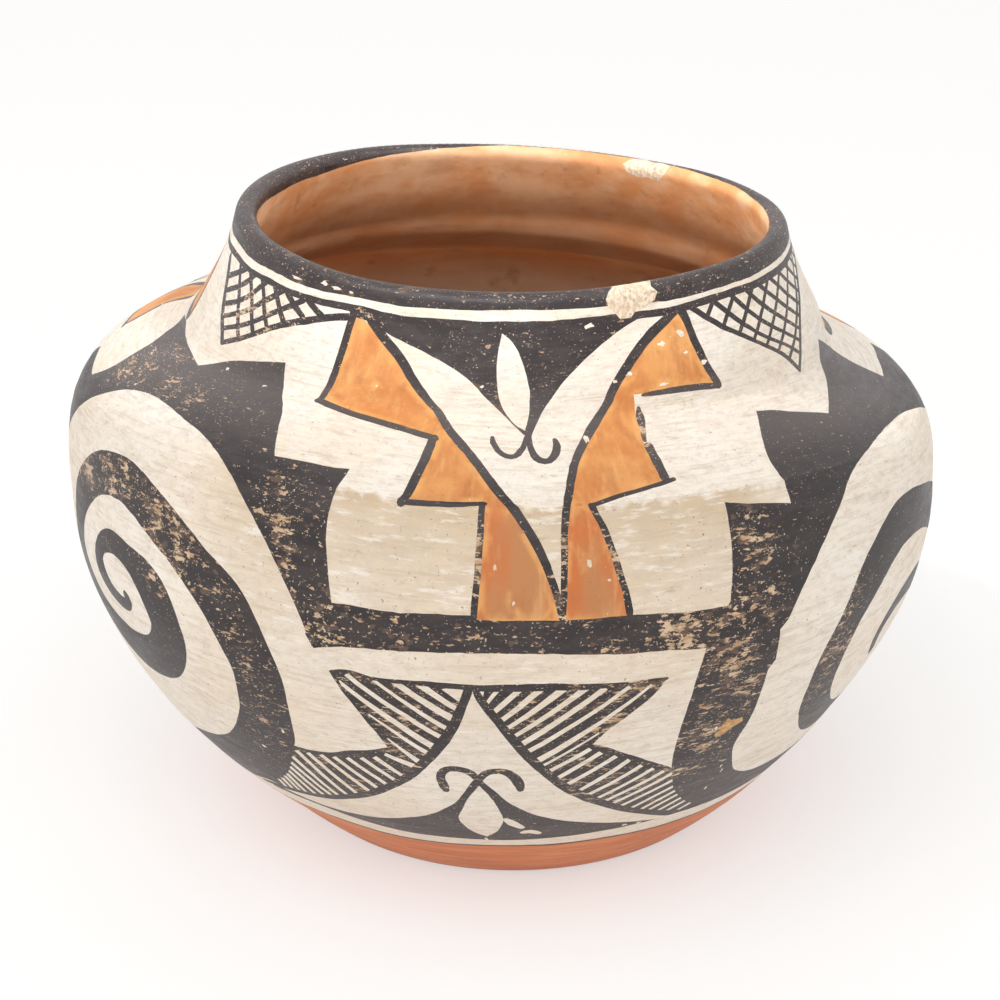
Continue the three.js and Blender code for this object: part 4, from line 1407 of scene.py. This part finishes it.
def bake_map(mesh, course, loop_face):
    turn, up = np.array(course.turn), np.array(course.up)
    loops = np.zeros(len(mesh.loops), np.int32)
    mesh.loops.foreach_get("vertex_index", loops)
    strips = np.array(course.strip)[loop_face]
    loop_turn, loop_up = turn[loops], up[loops]
    counts = np.bincount(loop_face)
    cosine = np.bincount(loop_face, np.cos(loop_turn)) / counts
    sine = np.bincount(loop_face, np.sin(loop_turn)) / counts
    face_turn = np.arctan2(sine, cosine)[loop_face]
    loop_turn = face_turn + (loop_turn - face_turn + np.pi) % (2 * np.pi) - np.pi
    on_axis = np.interp(loop_up, WAY, RADIUS) < 0.01
    loop_turn = np.where(on_axis, face_turn, loop_turn)
    names = sorted(set(course.strip))
    spans = {name: (loop_up[strips == name].min(), loop_up[strips == name].max()) for name in names}
    girth = 2 * math.pi * float(np.interp(loop_up, WAY, RADIUS).max())
    heights = {
        name: SEAM_STRIP if name.startswith("seam") else min(high - low, TALLEST_STRIP)
        for name, (low, high) in spans.items()
    }
    tall = sum(heights.values()) + STRIP_GAP * len(names)

    def page_size(pieces):
        return max(tall * pieces, girth / pieces + 2 * PAGE_MARGIN)

    pieces = min(range(1, MOST_PIECES + 1), key=page_size)
    piece = np.clip(((face_turn + np.pi) / (2 * np.pi) * pieces).astype(int), 0, pieces - 1)
    over = PAGE_MARGIN + (loop_turn + np.pi - piece * 2 * np.pi / pieces) / (2 * np.pi) * girth
    down, base = np.zeros(len(loop_up)), 0.0
    for name in names:
        low, high = spans[name]
        here = strips == name
        down[here] = base + (loop_up[here] - low) / max(high - low, 1e-6) * heights[name]
        base += heights[name] + STRIP_GAP
    uv = np.column_stack([over, down + piece * tall]) / page_size(pieces)
    layer = mesh.uv_layers.new(name="OFBake")
    layer.data.foreach_set("uv", uv.astype(np.float32).ravel())


# %% Turn one course into an object that stands for its node
def turn_outwards(mesh):
    """Makes every face point outwards, and returns how many edges don't join two faces"""
    built = bmesh.new()
    built.from_mesh(mesh)
    bmesh.ops.recalc_face_normals(built, faces=built.faces)
    if built.calc_volume(signed=True) < 0:
        bmesh.ops.reverse_faces(built, faces=built.faces)
    open_edges = sum(not edge.is_manifold for edge in built.edges)
    built.to_mesh(mesh)
    built.free()
    return open_edges


def course_mesh(course, name, turn, up):
    """The mesh of one course in metres, with the values that its materials read"""
    mesh = bpy.data.meshes.new(name)
    mesh.from_pydata((surface_point(up, turn) * 0.001).tolist(), [], course.faces)
    for key, values in {"inside_edge": course.near, "worn": course.worn, "stain_and_shade": course.stain_and_shade}.items():
        mesh.attributes.new(key, "FLOAT", "POINT").data.foreach_set("value", values)
    place = np.column_stack([CHART * np.sin(turn), -CHART * np.cos(turn), up])
    mesh.attributes.new("wall_place", "FLOAT_VECTOR", "POINT").data.foreach_set("vector", place.ravel())
    return mesh


def shade(mesh, course, turn, up):
    """Smooth over the wall and flat on the seams; the bake map needs the same list of faces"""
    loops = np.zeros(len(mesh.loops), np.int32)
    mesh.loops.foreach_get("vertex_index", loops)
    sizes = np.zeros(len(mesh.polygons), np.int32)
    mesh.polygons.foreach_get("loop_total", sizes)
    loop_face = np.repeat(np.arange(len(sizes)), sizes)
    face_normals = np.zeros(len(sizes) * 3, np.float32)
    mesh.polygons.foreach_get("normal", face_normals)
    normals = lumpy_facing(up, turn)[loops]
    flat = np.array(course.flat)[loop_face]
    normals[flat] = face_normals.reshape(-1, 3)[loop_face][flat]
    bake_map(mesh, course, loop_face)
    mesh.polygons.foreach_set("use_smooth", [True] * len(mesh.polygons))
    mesh.normals_split_custom_set(normals.tolist())


def make_course(course, name, node):
    turn, up = np.array(course.turn), np.array(course.up)
    mesh = course_mesh(course, name, turn, up)
    open_edges = turn_outwards(mesh)
    used = sorted(set(course.pigment))
    for colour in used:
        mesh.materials.append(MATERIALS[colour])
    mesh.polygons.foreach_set("material_index", [used.index(colour) for colour in course.pigment])
    shade(mesh, course, turn, up)
    piece = bpy.data.objects.new(name, mesh)
    bpy.context.scene.collection.objects.link(piece)
    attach(piece, "root")
    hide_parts(node)
    print(name, len(mesh.polygons), "faces, open edges", open_edges)


# %% The moulded base
def inner_way(height):
    return float(np.interp(-height, -inside_heights, inside_way))


HOLLOW_START, FLOOR_END = float(WAY[0]), float(WAY[-1])
base = Course()
wall_bottom, wall_top = painted_wall(base, 0)
first_ring = base.ring(HOLLOW_START + 3)
base.cap(HOLLOW_START, first_ring, RED, "under")
_, ring_end = base.rows(HOLLOW_START + 3, FIRST_WAY - 1, RED, "under", first_ring=first_ring)
base.zip(ring_end, wall_bottom, RED, "under")
seam_way = float(np.interp(-(BASE_COURSE - SEAM_DROP), -section_heights[inside_start:], way[inside_start:]))
seam_ring, floor_ring = base.rows(seam_way, FLOOR_END - 3, INSIDE, "floor")
base.cap(FLOOR_END, floor_ring, INSIDE, "floor")
base.zip(wall_top, seam_ring, CLAY, "seam", flat=True)
make_course(base, "painted_base", "moulded_base")

# %% The coils of the wall
COIL_NODES = [f"lower_wall_coil_{number + 1}" for number in range(LOWER_WALL_COILS)]
COIL_NODES += ["keel_coil", "shoulder_coil", "neck_coil"]
for number, node in enumerate(COIL_NODES, start=1):
    coil = Course()
    bottom, top = painted_wall(coil, number)
    low, high = COURSE_HEIGHTS[number - 1] - SEAM_DROP, COURSE_HEIGHTS[number] - SEAM_DROP
    low_way = seam_way if number == 1 else inner_way(low)
    top_ring, bottom_ring = coil.rows(inner_way(high), low_way, INSIDE, "inside")
    coil.zip(top, top_ring, CLAY, "seam", flat=True)
    coil.zip(bottom, bottom_ring, CLAY, "seam_below", flat=True)
    make_course(coil, f"painted_{node}", node)

# %% The rim
rim = Course()
bottom, inner_top = painted_wall(rim, len(COIL_NODES) + 1)
rim_seam = rim.ring(inner_way(RIM_HEIGHT - RIM_COURSE - SEAM_DROP))
rim.zip(inner_top, rim_seam, INSIDE, "inside")
rim.zip(bottom, rim_seam, CLAY, "seam", flat=True)
make_course(rim, "painted_rim", "rim_coil")

# %% [markdown]
# ## Stage
# The photograph was taken in a white light tent, with soft light from all round and a white floor that
# throws light up under the belly. A bright world and one broad lamp above do the same, and three small lamps
# send light through the mouth to the inside.

# %% Floor and light
def seen_directly(nodes):
    """1 for what the camera sees, straight or in a reflection"""
    path = add(nodes, "ShaderNodeLightPath")
    seen = path.outputs["Is Camera Ray"]
    for kind in ("Is Glossy Ray", "Is Transmission Ray"):
        seen = add(nodes, "ShaderNodeMath", {0: seen, 1: path.outputs[kind]}, operation="MAXIMUM").outputs[0]
    return seen


FLOOR_HALF, FLOOR_DROP = 6.0, 0.0001
TENT_LIGHT, TENT_WALL, FLOOR_GLOW, GLOW_SHARE = 0.77, 1.0, 1.27, 0.4

floor_mesh = bpy.data.meshes.new("white_floor")
floor_corners = [(x * FLOOR_HALF, y * FLOOR_HALF, -FLOOR_DROP) for x, y in ((-1, -1), (1, -1), (1, 1),
    (-1, 1))]
floor_mesh.from_pydata(floor_corners, [], [(0, 1, 2, 3)])
floor = bpy.data.objects.new("white_floor", floor_mesh)
bpy.context.scene.collection.objects.link(floor)
floor_material, nodes = new_material("white_sweep")
paper = add(nodes, "ShaderNodeBsdfDiffuse", {"Color": linear("#FAF8F6")})
glow = add(nodes, "ShaderNodeEmission", {"Color": (1, 1, 1, 1), "Strength": FLOOR_GLOW})
lifted = scaled(nodes, seen_directly(nodes), GLOW_SHARE)
both = add(nodes, "ShaderNodeMixShader", {0: lifted, 1: paper.outputs[0], 2: glow.outputs[0]})
add(nodes, "ShaderNodeOutputMaterial", {"Surface": both.outputs[0]})
floor_mesh.materials.append(floor_material)

world = bpy.data.worlds.new("light_tent")
bpy.context.scene.world = world
world.use_nodes = True
world.node_tree.nodes.clear()
nodes = world.node_tree.nodes
tent_light = add(nodes, "ShaderNodeBackground", {"Color": (1.0, 0.99, 0.985, 1), "Strength": TENT_LIGHT})
tent_wall = add(nodes, "ShaderNodeBackground", {"Color": (1, 1, 1, 1), "Strength": TENT_WALL})
tent = add(nodes, "ShaderNodeMixShader", {
    0: seen_directly(nodes), 1: tent_light.outputs[0], 2: tent_wall.outputs[0]})
add(nodes, "ShaderNodeOutputWorld", {"Surface": tent.outputs[0]})


def panel(name, size, energy, spread, place, aim):
    """A flat lamp of a size in metres that faces a point"""
    data = bpy.data.lights.new(name, "AREA")
    data.shape, data.size, data.size_y = "RECTANGLE", *size
    data.energy, data.spread = energy, math.radians(spread)
    lamp = bpy.data.objects.new(name, data)
    bpy.context.scene.collection.objects.link(lamp)
    lamp.location = place
    lamp.rotation_euler = (Vector(aim) - lamp.location).to_track_quat("-Z", "Y").to_euler()


panel("top_panel", (1.4, 1.0), 5.3, 180, (-0.3, -0.75, 1.1), (0, 0, 0.08))
panel("beam_into_the_mouth", (0.06, 0.06), 0.04, 14, (-0.135, -0.498, 0.818), (0, 0.055, 0.125))
panel("beam_on_the_left_wall", (0.1, 0.1), 0.034, 11, (0.35, -0.15, 0.7), (-0.055, 0.01, 0.13))
panel("beam_on_the_right_wall", (0.1, 0.1), 0.034, 11, (-0.35, -0.15, 0.7), (0.055, 0.01, 0.13))

# %% Camera at the photograph's angle
ELEVATION, DISTANCE, LENS, SENSOR = math.radians(25.1), 0.592, 81.58, 36
AIM = Vector((-0.0006, 0, 0.07536))
camera_data = bpy.data.cameras.new("camera")
camera_data.lens, camera_data.sensor_width = LENS, SENSOR
camera = bpy.data.objects.new("camera", camera_data)
bpy.context.scene.collection.objects.link(camera)
camera.location = AIM + DISTANCE * Vector((0, -math.cos(ELEVATION), math.sin(ELEVATION)))
camera.rotation_euler = (AIM - camera.location).to_track_quat("-Z", "Y").to_euler()
bpy.context.scene.camera = camera
bpy.context.scene.view_settings.view_transform = "Standard"
